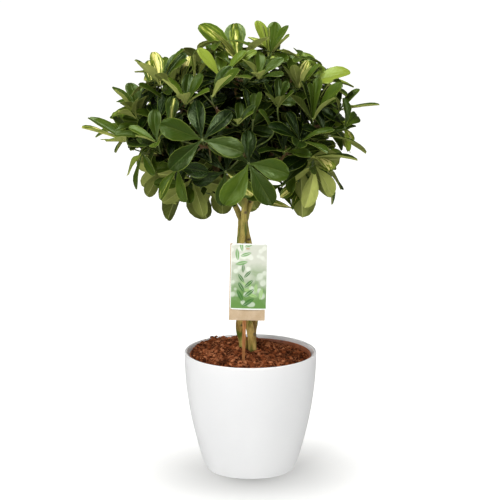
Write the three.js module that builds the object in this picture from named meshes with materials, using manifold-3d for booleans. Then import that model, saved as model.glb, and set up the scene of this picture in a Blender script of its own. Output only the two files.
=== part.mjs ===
// A potted umbrella plant: three stems plaited into a trunk with a round crown of umbrella leaves,
// in a nursery pot that stands inside a plain planter, with a card on a stick in the soil.
// Millimetres, +Z up, the front along -Y. The origin is the middle of the planter's base.
import * as THREE from "three";
import { mergeVertices } from "three/addons/utils/BufferGeometryUtils.js";
import Module from "manifold-3d";

const wasm = await Module();
wasm.setup();

// Planter
const potHeight = 202;
const potRimRadius = 110;
const potTaper = 36; // how much smaller the wall's radius is at the base than at the rim
const potWall = 4.6;
const potFloor = 6;
const potFootRadius = 68;
const potFootRound = 6;
const potLip = 2.2; // radius of the rounded lip
const potSides = 36;

// Nursery pot
const fitGap = 0.3; // left between pieces that touch
const growFloor = potFloor + fitGap;
const growTop = 197.5;
const growRimDepth = 11;
const growFootRadius = 68;
const growShoulderRadius = 97;
const growRimRadius = 101.5;
const growWall = 1.6;
const growRimWall = 2.6;
const growFootRound = 3;
const growRimRound = 1.2;
const growSides = 28;
const drainHoles = 5;
const drainRadius = 7;
const drainCircle = 42;
const drainSides = 6;

// Soil
const soilEdge = 193;
const soilMound = 13;
const soilLean = 8; // higher on the back left than on the front right
const soilLeanTurn = 150;
const soilRough = 3.2;
const soilSpare = 0.6; // from the nursery pot's wall to the soil
const soilEdgeSpare = 1.6; // the same at its rim
const soilRings = 6;
const soilSides = growSides; // so that its flat sides lie along the nursery pot's
const soilDraws = 9001;

// Trunk
const trunkXLow = -3;
const trunkXNeck = -12;
const stemFoot = 150;
const plaitStart = 214;
const plaitEnd = 385;
const gatherStart = 362; // the stems draw together from here up to the neck
const neckHeight = 424;
const plaitTurns = 0.5;
const plaitEndAngle = 90;
const stemRadiusLow = 7.6;
const stemRadiusNeck = 5.6;
const plaitRelease = 34; // how far above its start the plait has opened to its own width
const plaitWidthLow = 13.9;
const plaitWidthHigh = 12.2;
const plaitDepthLow = 16.4;
const plaitDepthHigh = 13;
const plaitSteps = 9;
const stemSides = 8;
const leaderTopRadius = 3.4;
const leaderSteps = 4;
const branchRadius = 2.6;
const branchSides = 4;
const branchSteps = 3;
const branchStub = 4; // the straight last stretch that the shoot sits on
const branchLeave = 0.3; // how far a branch keeps to its leader's way at first, as a share of its length
const branchArrive = 0.4; // the same for the way it has at its end
const leaderBefore = 0.05; // how much lower the point is that gives a leader's way
const holeGap = 0.35; // round the stems and the stick where they stand in the soil
const holeAbove = 28; // how far the tool that cuts a stem's hole goes on above the plait's start

// Crown
const twigRadius = 2.4;
const twigTipRadius = 1.92;
const twigLength = 24;
const stalkFirst = 0.45; // where along its twig the first leaf stalk starts
const stalkRange = 0.5;
const stalkRadius = 1.5;
const stalkSides = 3;
const stalkSteps = 3;
const stalkLeave = 0.35; // how far a leaf stalk keeps to its first way, as a share of its length
const stalkWay = 0.6; // how much of the twig's way is in it
const stalkArrive = 0.3;
const hubRadius = 2.4;
const hubHalfHeight = 0.55;
const bladeHalf = 0.4; // half the thickness of a leaflet
const bladeFold = 17; // degrees that each half of a leaflet rises from its midrib
const rimShares = [0.4, 0.7, 0.97]; // places of a leaflet's corners along it
const middleShare = 0.6;
const widthShare = 0.42; // a leaflet's width against its length
const usualLength = 62; // leaflets longer than this are a little broader for their length
const widestShare = 0.7; // from here on a leaflet's outline closes round its tip
const outlineSkew = 1.6; // how far towards the tip a leaflet is widest
const outlineBase = 0.8; // how slim its lower part is
const outlineTip = 0.5; // how round its tip is
const lengthDraw = [0.86, 0.22]; // the least share of the given length and the range over it
const widthDraw = [0.84, 0.3];
const tiltRange = 16; // degrees over which a leaflet's rise and its droop vary
const sectorSpare = 2; // degrees kept free between neighbouring leaflets
const leafReach = 5.6; // how far leaflets of different umbrellas keep from each other
const stalkReach = 5;
const branchReach = 6.5;
const trunkReach = 9;
const hubReach = 6.5;
const spotStep = 5; // between the places kept clear along a stem or stalk
const leafSteps = 10; // the same along a leaflet
const leafSpotShares = [0.045, 0.995]; // the share of its length before the first of them, and at the last

// Label
const stickFoot = [-11.5, -55, 200]; // where the stick enters the soil
const stickBuried = 60;
const stickAbove = 180;
const stickWidth = 7.6;
const stickTipWidth = 4.2;
const stickThickness = 1.6;
const labelLean = 4.4; // degrees that the top leans back
const labelRoll = 1.2; // degrees that the top leans to the right
const boardSize = [59, 1.2, 128];
const boardLow = 68; // from where the stick enters the soil up to the board
const boardShift = 4; // to the right of the stick
const cardSize = [60, 0.8, 110];
const cardLift = 18.5; // above the board's lower edge
const cardShift = 6;
const cardBow = 3; // how far the card's middle stands forward of its two sides
const cardSteps = 6;
const tabSize = [6, 5.2, 2.4]; // the board's tongue through the slot near the card's top
const tabRoot = 0.5; // how far the tongue goes into the board
const tabShift = 3.4;
const tabDown = 9;

const degree = Math.PI / 180;

// A seeded draw from 0 to 1, so that every build gives the same plant.
let seed = 0;
function draw() {
  seed = (seed * 1664525 + 1013904223) % 4294967296;
  return seed / 4294967296;
}

// Starts the draws again for one piece, so that a change to one leaves the others as they were.
function startDraws(number) {
  seed = (number * 7919 + 71) % 4294967296;
  for (let i = 0; i < 4; i++) draw();
}

// ---------- vectors, curves and solids ----------

const add = (a, b, k = 1) => [a[0] + b[0] * k, a[1] + b[1] * k, a[2] + b[2] * k];
const dot = (a, b) => a[0] * b[0] + a[1] * b[1] + a[2] * b[2];
const cross = (a, b) => [
  a[1] * b[2] - a[2] * b[1],
  a[2] * b[0] - a[0] * b[2],
  a[0] * b[1] - a[1] * b[0],
];
const lengthOf = (a) => Math.sqrt(dot(a, a));
const unit = (a) => [a[0] / lengthOf(a), a[1] / lengthOf(a), a[2] / lengthOf(a)];
const mix = (a, b, t) => a + (b - a) * t;

function curvePoint(a, b, c, d, t) {
  const u = 1 - t;
  const shares = [u * u * u, 3 * u * u * t, 3 * u * t * t, t * t * t];
  return [0, 1, 2].map((i) => shares[0] * a[i] + shares[1] * b[i] + shares[2] * c[i] + shares[3] * d[i]);
}

function curve(a, b, c, d, steps) {
  return Array.from({ length: steps + 1 }, (_, i) => curvePoint(a, b, c, d, i / steps));
}

function meshGeometry(corners, faces) {
  const geometry = new THREE.BufferGeometry();
  geometry.setAttribute("position", new THREE.Float32BufferAttribute(corners.flat(), 3));
  geometry.setIndex(faces.flat());
  return geometry;
}

function solid(geometry) {
  const bare = geometry.clone();
  bare.deleteAttribute("uv");
  bare.deleteAttribute("normal");
  const merged = mergeVertices(bare, 1e-4);
  const vertProperties = merged.attributes.position.array;
  const triVerts = new Uint32Array(merged.index.array);
  return new wasm.Manifold(new wasm.Mesh({ numProp: 3, vertProperties, triVerts }));
}

function surface(body) {
  const mesh = body.getMesh();
  const geometry = new THREE.BufferGeometry();
  geometry.setAttribute("position", new THREE.BufferAttribute(mesh.vertProperties, 3));
  geometry.setIndex(new THREE.BufferAttribute(mesh.triVerts, 1));
  return geometry;
}

// Where the first corner of a limb's rings lies, before it is squared to the path.
const firstSide = [1, 0.2, 0.1];

// A closed limb with flat ends: a ring of corners round each point of a path.
function limb(path, radii, sides) {
  const last = path.length - 1;
  const corners = [];
  const faces = [];
  let side = firstSide;
  path.forEach((point, i) => {
    const ahead = unit(add(path[Math.min(i + 1, last)], path[Math.max(i - 1, 0)], -1));
    side = unit(add(side, ahead, -dot(side, ahead)));
    const other = cross(ahead, side);
    for (let k = 0; k < sides; k++) {
      const angle = (k / sides) * 2 * Math.PI;
      const outward = add(add([0, 0, 0], side, Math.cos(angle)), other, Math.sin(angle));
      corners.push(add(point, outward, radii[i]));
    }
  });
  for (let i = 0; i < last; i++) {
    for (let k = 0; k < sides; k++) {
      const a = i * sides + k;
      const b = i * sides + ((k + 1) % sides);
      faces.push([a, b, b + sides], [a, b + sides, a + sides]);
    }
  }
  for (let k = 1; k < sides - 1; k++) {
    faces.push([0, k + 1, k], [last * sides, last * sides + k, last * sides + k + 1]);
  }
  return solid(meshGeometry(corners, faces));
}

function turned(profile, sides) {
  const points = profile.map(([radius, height]) => new THREE.Vector2(radius, height));
  const geometry = new THREE.LatheGeometry(points, sides);
  geometry.rotateX(Math.PI / 2);
  return solid(geometry);
}

// Points on a round stretch of a profile of radius and height, from one angle to another.
function arc(radius, height, round, from, to, steps) {
  return Array.from({ length: steps + 1 }, (_, i) => {
    const angle = mix(from, to, i / steps) * degree;
    return [radius + round * Math.cos(angle), height + round * Math.sin(angle)];
  });
}

function piece(name, body, colour, roughness) {
  const material = new THREE.MeshStandardMaterial({ color: colour, roughness, metalness: 0 });
  const mesh = new THREE.Mesh(surface(body), material);
  mesh.name = name;
  return mesh;
}

// ---------- planter and nursery pot ----------

function potRadius(height) {
  const share = 1 - height / potHeight;
  return potRimRadius - potTaper * share * share;
}

function makePot() {
  const outerHeights = [22, 52, 90, 136];
  const innerHeights = [110, 45];
  const lipHeight = potHeight - potLip;
  const profile = [
    [0, 0],
    ...arc(potFootRadius, potFootRound, potFootRound, -90, -15, 2),
    ...outerHeights.map((height) => [potRadius(height), height]),
    ...arc(potRimRadius - potLip, lipHeight, potLip, 0, 180, 3),
    ...innerHeights.map((height) => [potRadius(height) - potWall, height]),
    [potRadius(potFloor) - potWall, potFloor],
    [0, potFloor],
  ];
  return turned(profile, potSides);
}

function makeGrowPot() {
  const shoulder = growTop - growRimDepth;
  const profile = [
    [0, growFloor],
    [growFootRadius - growFootRound, growFloor],
    [growFootRadius, growFloor + growFootRound],
    [growShoulderRadius, shoulder],
    [growRimRadius, shoulder + growRimRound],
    [growRimRadius, growTop - growRimRound],
    [growRimRadius - growRimRound, growTop],
    [growRimRadius - growRimWall, growTop - growRimRound],
    [growRimRadius - growRimWall, shoulder + growRimWall],
    [growShoulderRadius - growWall, shoulder],
    [growFootRadius - growWall, growFloor + growFootRound],
    [growFootRadius - growFootRound, growFloor + growWall],
    [0, growFloor + growWall],
  ];
  let body = turned(profile, growSides);
  for (let k = 0; k < drainHoles; k++) {
    const angle = (k / drainHoles) * 2 * Math.PI;
    const x = drainCircle * Math.cos(angle);
    const y = drainCircle * Math.sin(angle);
    const path = [
      [x, y, growFloor - growWall],
      [x, y, growFloor + 2 * growWall],
    ];
    body = body.subtract(limb(path, [drainRadius, drainRadius], drainSides));
  }
  return body;
}

// ---------- soil ----------

function soilHeight(share, angle) {
  const mound = soilMound * (1 - share * share);
  const lean = soilLean * share * Math.cos(angle - soilLeanTurn * degree);
  return soilEdge + mound + lean;
}

function makeSoil(holes) {
  startDraws(soilDraws);
  const shoulder = growTop - growRimDepth;
  const low = growFloor + growWall + fitGap;
  const edgeRadius = growRimRadius - growRimWall - soilEdgeSpare;
  const sideRings = [
    [growShoulderRadius - growWall - soilSpare, () => shoulder],
    [growFootRadius - growWall - soilSpare, () => low + growFootRound],
    [growFootRadius - growFootRound - soilSpare, () => low],
  ];
  const topRings = Array.from({ length: soilRings }, (_, i) => {
    const share = (i + 1) / soilRings;
    const rough = share < 1 ? soilRough : soilRough / 2;
    return [edgeRadius * share, (angle) => soilHeight(share, angle) + rough * (2 * draw() - 1)];
  });
  const rings = [...topRings, ...sideRings];
  const corners = [[0, 0, soilHeight(0, 0)]];
  const faces = [];
  rings.forEach(([radius, height], i) => {
    const stagger = i < soilRings - 1 ? (i % 2) / 2 : 0;
    for (let k = 0; k < soilSides; k++) {
      const angle = ((k + stagger) / soilSides) * 2 * Math.PI;
      corners.push([radius * Math.cos(angle), radius * Math.sin(angle), height(angle)]);
    }
  });
  const at = (ring, k) => 1 + ring * soilSides + (k % soilSides);
  for (let k = 0; k < soilSides; k++) {
    faces.push([0, at(0, k), at(0, k + 1)]);
    for (let i = 0; i < rings.length - 1; i++) {
      const [a, b, c, d] = [at(i, k), at(i, k + 1), at(i + 1, k), at(i + 1, k + 1)];
      if (i % 2) faces.push([a, c, d], [a, d, b]);
      else faces.push([a, c, b], [b, c, d]);
    }
    faces.push([corners.length, at(rings.length - 1, k + 1), at(rings.length - 1, k)]);
  }
  corners.push([0, 0, low]);
  return holes.reduce((body, hole) => body.subtract(hole), solid(meshGeometry(corners, faces)));
}

// ---------- trunk ----------

// Each stem, named for its side of the crown: its place in the plait, where it stands at the foot and
// at the neck, and the curve of its leader from the neck to its top.
const stems = {
  right: {
    order: 0, foot: [-9, 0], neck: [3, 1.4],
    bend: [-2, 4, 454], lean: [18, 8, 506], top: [62, 6, 588],
  },
  left: {
    order: 1, foot: [5.7, 8.5], neck: [-3.2, 11.6],
    bend: [-25, 5, 452], lean: [-50, 6, 500], top: [-92, 8, 572],
  },
  middle: {
    order: 2, foot: [5.7, -8.5], neck: [1.6, -10.5],
    bend: [-11, -9, 462], lean: [-4, -12, 526], top: [-16, -12, 622],
  },
};

const eased = (from, to, at) => {
  const share = Math.min(Math.max((at - from) / (to - from), 0), 1);
  return [share, share * share * (3 - 2 * share)];
};

// The middle of a stem at a height: close together at the foot, plaited, and drawn in at the neck.
function plaitPoint({ order, foot, neck }, height) {
  const [share, turned] = eased(plaitStart, plaitEnd, height);
  const opened = eased(plaitStart, plaitStart + plaitRelease, height)[1];
  const drawn = eased(gatherStart, neckHeight, height)[1];
  const angle = (plaitEndAngle + order * 120 - plaitTurns * 360 * (1 - turned)) * degree;
  const x = mix(plaitWidthLow, plaitWidthHigh, share) * Math.sin(angle);
  const y = mix(plaitDepthLow, plaitDepthHigh, share) * Math.sin(2 * angle);
  const across = mix(mix(foot[0], x, opened), neck[0], drawn);
  const deep = mix(mix(foot[1], y, opened), neck[1], drawn);
  return [mix(trunkXLow, trunkXNeck, share) + across, deep, height];
}

function leaderCurve(stem, share) {
  return curvePoint(plaitPoint(stem, neckHeight), stem.bend, stem.lean, stem.top, share);
}

function stemPath(stem) {
  const path = [plaitPoint(stem, stemFoot)];
  const radii = [stemRadiusLow];
  for (let i = 0; i <= plaitSteps; i++) {
    path.push(plaitPoint(stem, mix(plaitStart, neckHeight, i / plaitSteps)));
    radii.push(mix(stemRadiusLow, stemRadiusNeck, i / plaitSteps));
  }
  for (let i = 1; i <= leaderSteps; i++) {
    path.push(leaderCurve(stem, i / leaderSteps));
    radii.push(mix(stemRadiusNeck, leaderTopRadius, i / leaderSteps));
  }
  return { path, radii };
}

// ---------- the crown's umbrellas ----------

// Each shoot: the stem it belongs to, how far up the leader its branch leaves, where the branch ends,
// and its umbrellas. An umbrella: the middle of its leaflets; the turn and the climb of the way it
// faces (0, 0 is to the front, 90 to the right, the climb up to 90); the leaflets' length and number;
// how steeply they leave the stalk, how much they bow over on the way out, and their turn; last, on
// some, which of the leaflets have been lost.
const shoots = [
  {
    stem: "left", from: 0.9, end: [-128, -8, 528],
    umbrellas: [
      [-202, -16, 562, -10, 80, 82, 7, 20, 8, 1],
      [-176, -50, 548, -60, 18, 62, 6, 4, 24, 40],
      [-150, -86, 574, -30, 60, 58, 6, 36, 26, 0],
    ],
  },
  {
    stem: "left", from: 0.95, end: [-118, 6, 582],
    umbrellas: [
      [-184, 0, 603, -30, 80, 58, 7, 56, 14, 20],
      [-160, 24, 636, -30, 76, 58, 6, 58, 14, 0],
      [-150, -64, 602, -30, 70, 54, 7, 52, 18, 30],
    ],
  },
  {
    stem: "left", from: 1, end: [-98, -26, 606],
    umbrellas: [
      [-146, -20, 656, 0, 82, 64, 6, 54, 12, -15, [5]],
      [-104, -70, 634, -5, 78, 58, 6, 54, 16, 30],
      [-116, -16, 650, 0, 84, 56, 7, 58, 12, 10],
    ],
  },
  {
    stem: "left", from: 0.6, end: [-62, -58, 560],
    umbrellas: [
      [-77, -118, 584, -8, 24, 72, 6, 12, 28, 44, [4]],
      [-130, -100, 598, -10, 78, 54, 6, 60, 12, 25],
      [-118, -70, 528, -40, 20, 60, 6, 10, 30, 5],
    ],
  },
  {
    stem: "middle", from: 0.72, end: [-52, -48, 608],
    umbrellas: [
      [-62, -96, 651, 0, 80, 64, 7, 56, 16, 0, [5]],
      [-90, -30, 668, -20, 82, 50, 6, 56, 14, 10],
      [-20, -112, 610, 5, 70, 44, 6, 55, 10, 20],
    ],
  },
  {
    stem: "middle", from: 1, end: [-24, -20, 648],
    umbrellas: [
      [-20, -8, 692, 0, 86, 80, 6, 52, 10, -20, [1, 5]],
      [-46, -68, 674, 5, 76, 58, 6, 52, 20, 25],
      [14, -62, 674, 20, 72, 52, 6, 46, 30, 10],
    ],
  },
  {
    stem: "right", from: 1, end: [50, -4, 640],
    umbrellas: [
      [31, 2, 698, 0, 84, 62, 7, 62, 14, 12, [5]],
      [78, -40, 655, 10, 82, 54, 6, 60, 12, 0],
      [94, 0, 642, 20, 80, 72, 6, 46, 50, -5],
    ],
  },
  {
    stem: "right", from: 0.9, end: [86, -14, 578],
    umbrellas: [
      [101, -58, 607, 5, 80, 70, 7, 58, 16, 0, [5]],
      [146, 18, 608, 0, 84, 66, 7, 16, 4, 0],
      [122, -44, 576, 60, 60, 54, 6, 40, 24, 30],
    ],
  },
  {
    stem: "right", from: 0.55, end: [52, -34, 536],
    umbrellas: [
      [80, -88, 576, 30, 66, 66, 7, 34, 34, 25],
      [98, -48, 542, 50, 80, 72, 6, 20, 30, 5],
      [54, -92, 560, 10, 70, 56, 6, 44, 24, 20],
      [44, -92, 634, 15, 66, 48, 6, 60, 10, 20],
    ],
  },
  {
    stem: "right", from: 0.42, end: [52, 12, 508],
    umbrellas: [
      [82, -20, 524, 160, -8, 82, 7, 4, 18, 10],
      [104, -48, 528, 140, 10, 66, 6, -6, 24, 35],
    ],
  },
  {
    stem: "middle", from: 0.45, end: [-4, -48, 548],
    umbrellas: [
      [-3, -110, 544, 5, 15, 76, 7, 10, 24, -12, [4]],
      [38, -112, 598, 15, 65, 46, 6, 52, 14, 15],
      [4, -96, 612, 0, 74, 48, 7, 62, 8, 30],
      [-40, -60, 520, -10, 10, 58, 6, -6, 30, 20],
    ],
  },
  {
    stem: "left", from: 0.45, end: [-84, 42, 504],
    umbrellas: [
      [-100, 84, 487, -150, 10, 86, 7, -8, 34, 0],
      [-140, 14, 508, -150, 0, 64, 6, 0, 26, 20],
      [-96, -20, 500, 170, 0, 60, 6, 0, 26, 10],
    ],
  },
  {
    stem: "middle", from: 0.3, end: [-22, 48, 496],
    umbrellas: [
      [-48, 96, 485, 180, 10, 84, 7, -8, 34, 10],
      [16, 84, 532, 160, 40, 64, 6, 10, 40, 0],
    ],
  },
  {
    stem: "middle", from: 0.8, end: [6, 14, 596],
    umbrellas: [
      [26, -28, 630, 20, 70, 58, 6, 34, 30, 0],
      [-10, -52, 588, 0, 55, 56, 6, 26, 34, 30],
      [34, 60, 610, 150, 60, 60, 6, 26, 34, 0],
    ],
  },
  // the back, out of sight from the front
  { stem: "left", from: 0.8, end: [-100, 64, 560], fill: 3 },
  { stem: "left", from: 1, end: [-92, 44, 590], fill: 2 },
  { stem: "middle", from: 0.85, end: [-30, 66, 600], fill: 2 },
  { stem: "middle", from: 0.55, end: [-8, 88, 564], fill: 3 },
  { stem: "right", from: 0.95, end: [52, 56, 592], fill: 2 },
  { stem: "right", from: 0.75, end: [44, 84, 548], fill: 3 },
];

const crownMiddle = [-28, 0, 560];
const fillTurn = 137.5; // degrees from one umbrella of a twig to the next
const fillTurnRange = 60; // what a draw may add to it, as for the other ranges
const fillSpread = 46; // degrees between the twig's line and a leaf stalk
const fillSpreadRange = 12;
const fillReach = 78;
const fillReachRange = 16;
const fillLength = 60;
const fillLengthRange = 18;
const fillCount = 6;
const fillRise = 26;
const fillRiseRange = 10;
const fillDroop = 32;
const fillTwistRange = 50;
const fillLift = 0.7; // how much a filling umbrella faces up rather than out

// The umbrellas of a shoot that is left to the rule: set round the shoot's own line, facing out and up.
function fillUmbrellas(shoot, number) {
  startDraws(number);
  const line = unit(add(shoot.end, crownMiddle, -1));
  const side = unit(cross(line, [0, 0, 1]));
  const other = cross(side, line);
  return Array.from({ length: shoot.fill }, (_, k) => {
    const turn = (k * fillTurn + fillTurnRange * draw()) * degree;
    const spread = (fillSpread + fillSpreadRange * draw()) * degree;
    const round = add(add([0, 0, 0], side, Math.cos(turn)), other, Math.sin(turn));
    const way = add(add([0, 0, 0], line, Math.cos(spread)), round, Math.sin(spread));
    const middle = add(shoot.end, way, fillReach + fillReachRange * draw());
    const facing = unit(add(way, [0, 0, 1], fillLift));
    const facingTurn = Math.atan2(facing[0], -facing[1]) / degree;
    const climb = Math.asin(facing[2]) / degree;
    const length = fillLength + fillLengthRange * draw();
    const count = fillCount + Math.round(draw());
    const rise = fillRise + fillRiseRange * draw();
    const twist = fillTwistRange * draw();
    return [...middle, facingTurn, climb, length, count, rise, fillDroop, twist];
  });
}

function readUmbrella([x, y, z, turn, climb, length, count, rise, droop, twist, lost = []]) {
  const flat = Math.cos(climb * degree);
  const across = [Math.cos(turn * degree), Math.sin(turn * degree), 0];
  const facing = [flat * Math.sin(turn * degree), -flat * Math.cos(turn * degree), Math.sin(climb * degree)];
  const up = cross(facing, across);
  return { middle: [x, y, z], facing, across, up, length, count, rise, droop, twist, lost };
}

// A leaflet's half width, as a share of the greatest, at a share of its length.
function outline(share) {
  const body = Math.sin(Math.PI * Math.pow(share, outlineSkew));
  return Math.pow(body, share < widestShare ? outlineBase : outlineTip);
}

// A point of a leaflet: the share of its length, the side from -1 to 1, and the height over its middle.
function leafPoint(umbrella, leaf, share, side, lift) {
  const bow = Math.max(leaf.droop, 1) * degree;
  const start = leaf.rise * degree;
  const slope = start - bow * share;
  const run = hubRadius * Math.cos(Math.PI / umbrella.count);
  const out = run + (leaf.length * (Math.sin(start) - Math.sin(slope))) / bow;
  const high = (leaf.length * (Math.cos(slope) - Math.cos(start))) / bow;
  const fold = bladeFold * degree;
  const sector = Math.tan((180 / umbrella.count - sectorSpare) * degree);
  const most = (out * sector) / (Math.cos(fold) + Math.max(Math.sin(slope), 0) * Math.sin(fold) * sector);
  const half = Math.min(leaf.width * 0.5 * outline(share), most) * side;
  const raised = Math.abs(half) * Math.sin(fold) + lift;
  const radial = out - raised * Math.sin(slope);
  const height = high + raised * Math.cos(slope);
  const sideways = half * Math.cos(fold);
  const point = add(add(umbrella.middle, leaf.outward, radial), umbrella.facing, height);
  return add(point, leaf.sideways, sideways);
}

// The seeded leaflets of an umbrella, before any is bent or left out: each has its own length and
// width, and rises and droops a little more or less than its umbrella says.
function drawLeaves(umbrella) {
  const share = widthShare * Math.sqrt(umbrella.length / usualLength);
  return Array.from({ length: umbrella.count }, (_, k) => {
    const angle = (umbrella.twist + (360 * k) / umbrella.count) * degree;
    const ring = add([0, 0, 0], umbrella.across, Math.cos(angle));
    const outward = add(ring, umbrella.up, Math.sin(angle));
    const length = umbrella.length * (lengthDraw[0] + lengthDraw[1] * draw());
    const width = length * share * (widthDraw[0] + widthDraw[1] * draw());
    const rise = umbrella.rise + tiltRange * (draw() - 0.5);
    const droop = umbrella.droop + tiltRange * (draw() - 0.5);
    return { outward, sideways: cross(umbrella.facing, outward), length, width, rise, droop };
  });
}

// The bends and shortenings that a leaflet is tried with, in order, to keep clear of the others.
const bends = [0, 9, -9, 18, -18, 27, -27, 36, -36, 10, -10, 24];
const shrinks = [1, 1, 1, 0.94, 0.94, 0.88, 0.88, 0.8, 0.8, 0.72, 0.72, 0.66];

const spots = new Map();
const cell = 9;
const cellKey = (x, y, z) => x * 4000000 + y * 2000 + z;

function addSpot(point, reach, owner) {
  const key = cellKey(...point.map((v) => Math.floor(v / cell)));
  if (!spots.has(key)) spots.set(key, []);
  spots.get(key).push([point, reach, owner]);
}

function isFree(point, owner) {
  const [x, y, z] = point.map((v) => Math.floor(v / cell));
  for (let i = x - 1; i <= x + 1; i++) {
    for (let j = y - 1; j <= y + 1; j++) {
      for (let k = z - 1; k <= z + 1; k++) {
        for (const [spot, reach, by] of spots.get(cellKey(i, j, k)) ?? []) {
          if (by !== owner && lengthOf(add(spot, point, -1)) < reach) return false;
        }
      }
    }
  }
  return true;
}

function leafSpots(umbrella, leaf) {
  const found = [];
  for (let i = 1; i <= leafSteps; i++) {
    const share = mix(...leafSpotShares, i / leafSteps);
    for (const side of [-1, -0.5, 0, 0.5, 1]) found.push(leafPoint(umbrella, leaf, share, side, 0));
  }
  return found;
}

const pathSpots = (path, reach, owner) => {
  path.forEach((point, i) => {
    if (!i) return;
    const steps = Math.ceil(lengthOf(add(point, path[i - 1], -1)) / spotStep);
    for (let k = 0; k < steps; k++) {
      addSpot(add(path[i - 1], add(point, path[i - 1], -1), k / steps), reach, owner);
    }
  });
};

function branchPath(shoot) {
  const stem = stems[shoot.stem];
  const start = leaderCurve(stem, shoot.from);
  const before = leaderCurve(stem, shoot.from - leaderBefore);
  const along = unit(add(start, before, -1));
  const far = lengthOf(add(shoot.end, start, -1));
  const bend = add(start, along, far * branchLeave);
  const late = add(shoot.end, shoot.line, -far * branchArrive);
  const path = curve(start, bend, late, add(shoot.end, shoot.line, -branchStub), branchSteps);
  return [...path, shoot.end];
}

function stalkPath(shoot, umbrella, share) {
  const start = add(shoot.end, shoot.line, fitGap + twigLength * share);
  const far = lengthOf(add(umbrella.middle, start, -1));
  const toward = unit(add(umbrella.middle, start, -1));
  const bend = add(start, unit(add(toward, shoot.line, stalkWay)), far * stalkLeave);
  const late = add(umbrella.middle, umbrella.facing, -far * stalkArrive);
  return curve(start, bend, late, umbrella.middle, stalkSteps);
}

function setOutShoot(shoot, i) {
  const rows = shoot.fill ? fillUmbrellas(shoot, 10 * i + 9) : shoot.umbrellas;
  shoot.heads = rows.map(readUmbrella);
  const middle = [0, 1, 2].map((i) => rows.reduce((sum, row) => sum + row[i], 0) / rows.length);
  shoot.line = unit(add(middle, shoot.end, -1));
  shoot.branch = branchPath(shoot);
  shoot.stalks = shoot.heads.map((head, k) => {
    return stalkPath(shoot, head, stalkFirst + (stalkRange * k) / rows.length);
  });
}

function growLeaves(umbrella, owner) {
  const kept = [];
  startDraws(owner);
  drawLeaves(umbrella).forEach((leaf, k) => {
    if (umbrella.lost.includes(k)) return;
    for (let i = 0; i < bends.length; i++) {
      const tried = { ...leaf, rise: leaf.rise + bends[i], length: leaf.length * shrinks[i] };
      tried.width = leaf.width * shrinks[i];
      const points = leafSpots(umbrella, tried);
      if (points.every((point) => isFree(point, owner))) {
        points.forEach((point) => addSpot(point, leafReach, owner));
        kept[k] = tried;
        break;
      }
    }
  });
  return kept;
}

// One umbrella: a small drum with a side for each leaflet, from which the leaflet grows.
function umbrellaBody(umbrella, leaves) {
  const corners = [];
  const faces = [];
  const count = umbrella.count;
  for (let k = 0; k < count; k++) {
    const angle = (umbrella.twist + (360 * (k - 0.5)) / count) * degree;
    const ring = add(add([0, 0, 0], umbrella.across, Math.cos(angle)), umbrella.up, Math.sin(angle));
    const place = add(umbrella.middle, ring, hubRadius);
    corners.push(add(place, umbrella.facing, hubHalfHeight), add(place, umbrella.facing, -hubHalfHeight));
  }
  for (let k = 0; k < count; k++) {
    const next = (k + 1) % count;
    const [highRight, lowRight, highLeft, lowLeft] = [2 * k, 2 * k + 1, 2 * next, 2 * next + 1];
    if (k > 0 && k < count - 1) {
      faces.push([0, highRight, highLeft], [1, lowLeft, lowRight]);
    }
    if (!leaves[k]) {
      faces.push([highRight, lowRight, lowLeft], [highRight, lowLeft, highLeft]);
      continue;
    }
    const first = corners.length;
    const rim = [...rimShares.map((share) => [share, -1]), ...rimShares.map((share) => [share, 1]).reverse()];
    for (const lift of [bladeHalf, -bladeHalf]) {
      rim.forEach(([share, side]) => corners.push(leafPoint(umbrella, leaves[k], share, side, lift)));
      corners.push(leafPoint(umbrella, leaves[k], middleShare, 0, lift));
    }
    const [highMiddle, lowFirst] = [first + rim.length, first + rim.length + 1];
    const lowMiddle = lowFirst + rim.length;
    const top = [highRight, ...rim.map((_, i) => first + i), highLeft];
    const low = [lowRight, ...rim.map((_, i) => lowFirst + i), lowLeft];
    for (let i = 0; i < top.length; i++) {
      const after = (i + 1) % top.length;
      faces.push([highMiddle, top[i], top[after]], [lowMiddle, low[after], low[i]]);
      if (after) faces.push([top[i], low[i], low[after]], [top[i], low[after], top[after]]);
    }
  }
  return solid(meshGeometry(corners, faces));
}

function shootBody(shoot) {
  const start = add(shoot.end, shoot.line, fitGap);
  const twig = [start, add(shoot.end, shoot.line, twigLength)];
  const parts = [limb(twig, [twigRadius, twigTipRadius], branchSides)];
  shoot.heads.forEach((head, k) => {
    const radii = shoot.stalks[k].map(() => stalkRadius);
    parts.push(limb(shoot.stalks[k], radii, stalkSides));
    parts.push(umbrellaBody(head, shoot.leaves[k]));
  });
  return parts.reduce((whole, part) => whole.add(part));
}

shoots.forEach(setOutShoot);
Object.values(stems).forEach((stem) => pathSpots(stemPath(stem).path, trunkReach, -1));
shoots.forEach((shoot, i) => {
  pathSpots(shoot.branch, branchReach, -1);
  pathSpots([shoot.end, add(shoot.end, shoot.line, twigLength)], branchReach, -1);
  shoot.stalks.forEach((path, k) => pathSpots(path, stalkReach, 10 * i + k));
  shoot.heads.forEach((head, k) => addSpot(head.middle, hubReach, 10 * i + k));
});
shoots.forEach((shoot, i) => {
  shoot.leaves = shoot.heads.map((head, k) => growLeaves(head, 10 * i + k));
});

function makeStem(name) {
  const { path, radii } = stemPath(stems[name]);
  const parts = [limb(path, radii, stemSides)];
  shoots
    .filter((shoot) => shoot.stem === name)
    .forEach((shoot) => {
      const branchRadii = shoot.branch.map(() => branchRadius);
      parts.push(limb(shoot.branch, branchRadii, branchSides));
    });
  return parts.reduce((whole, part) => whole.add(part));
}

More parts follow.
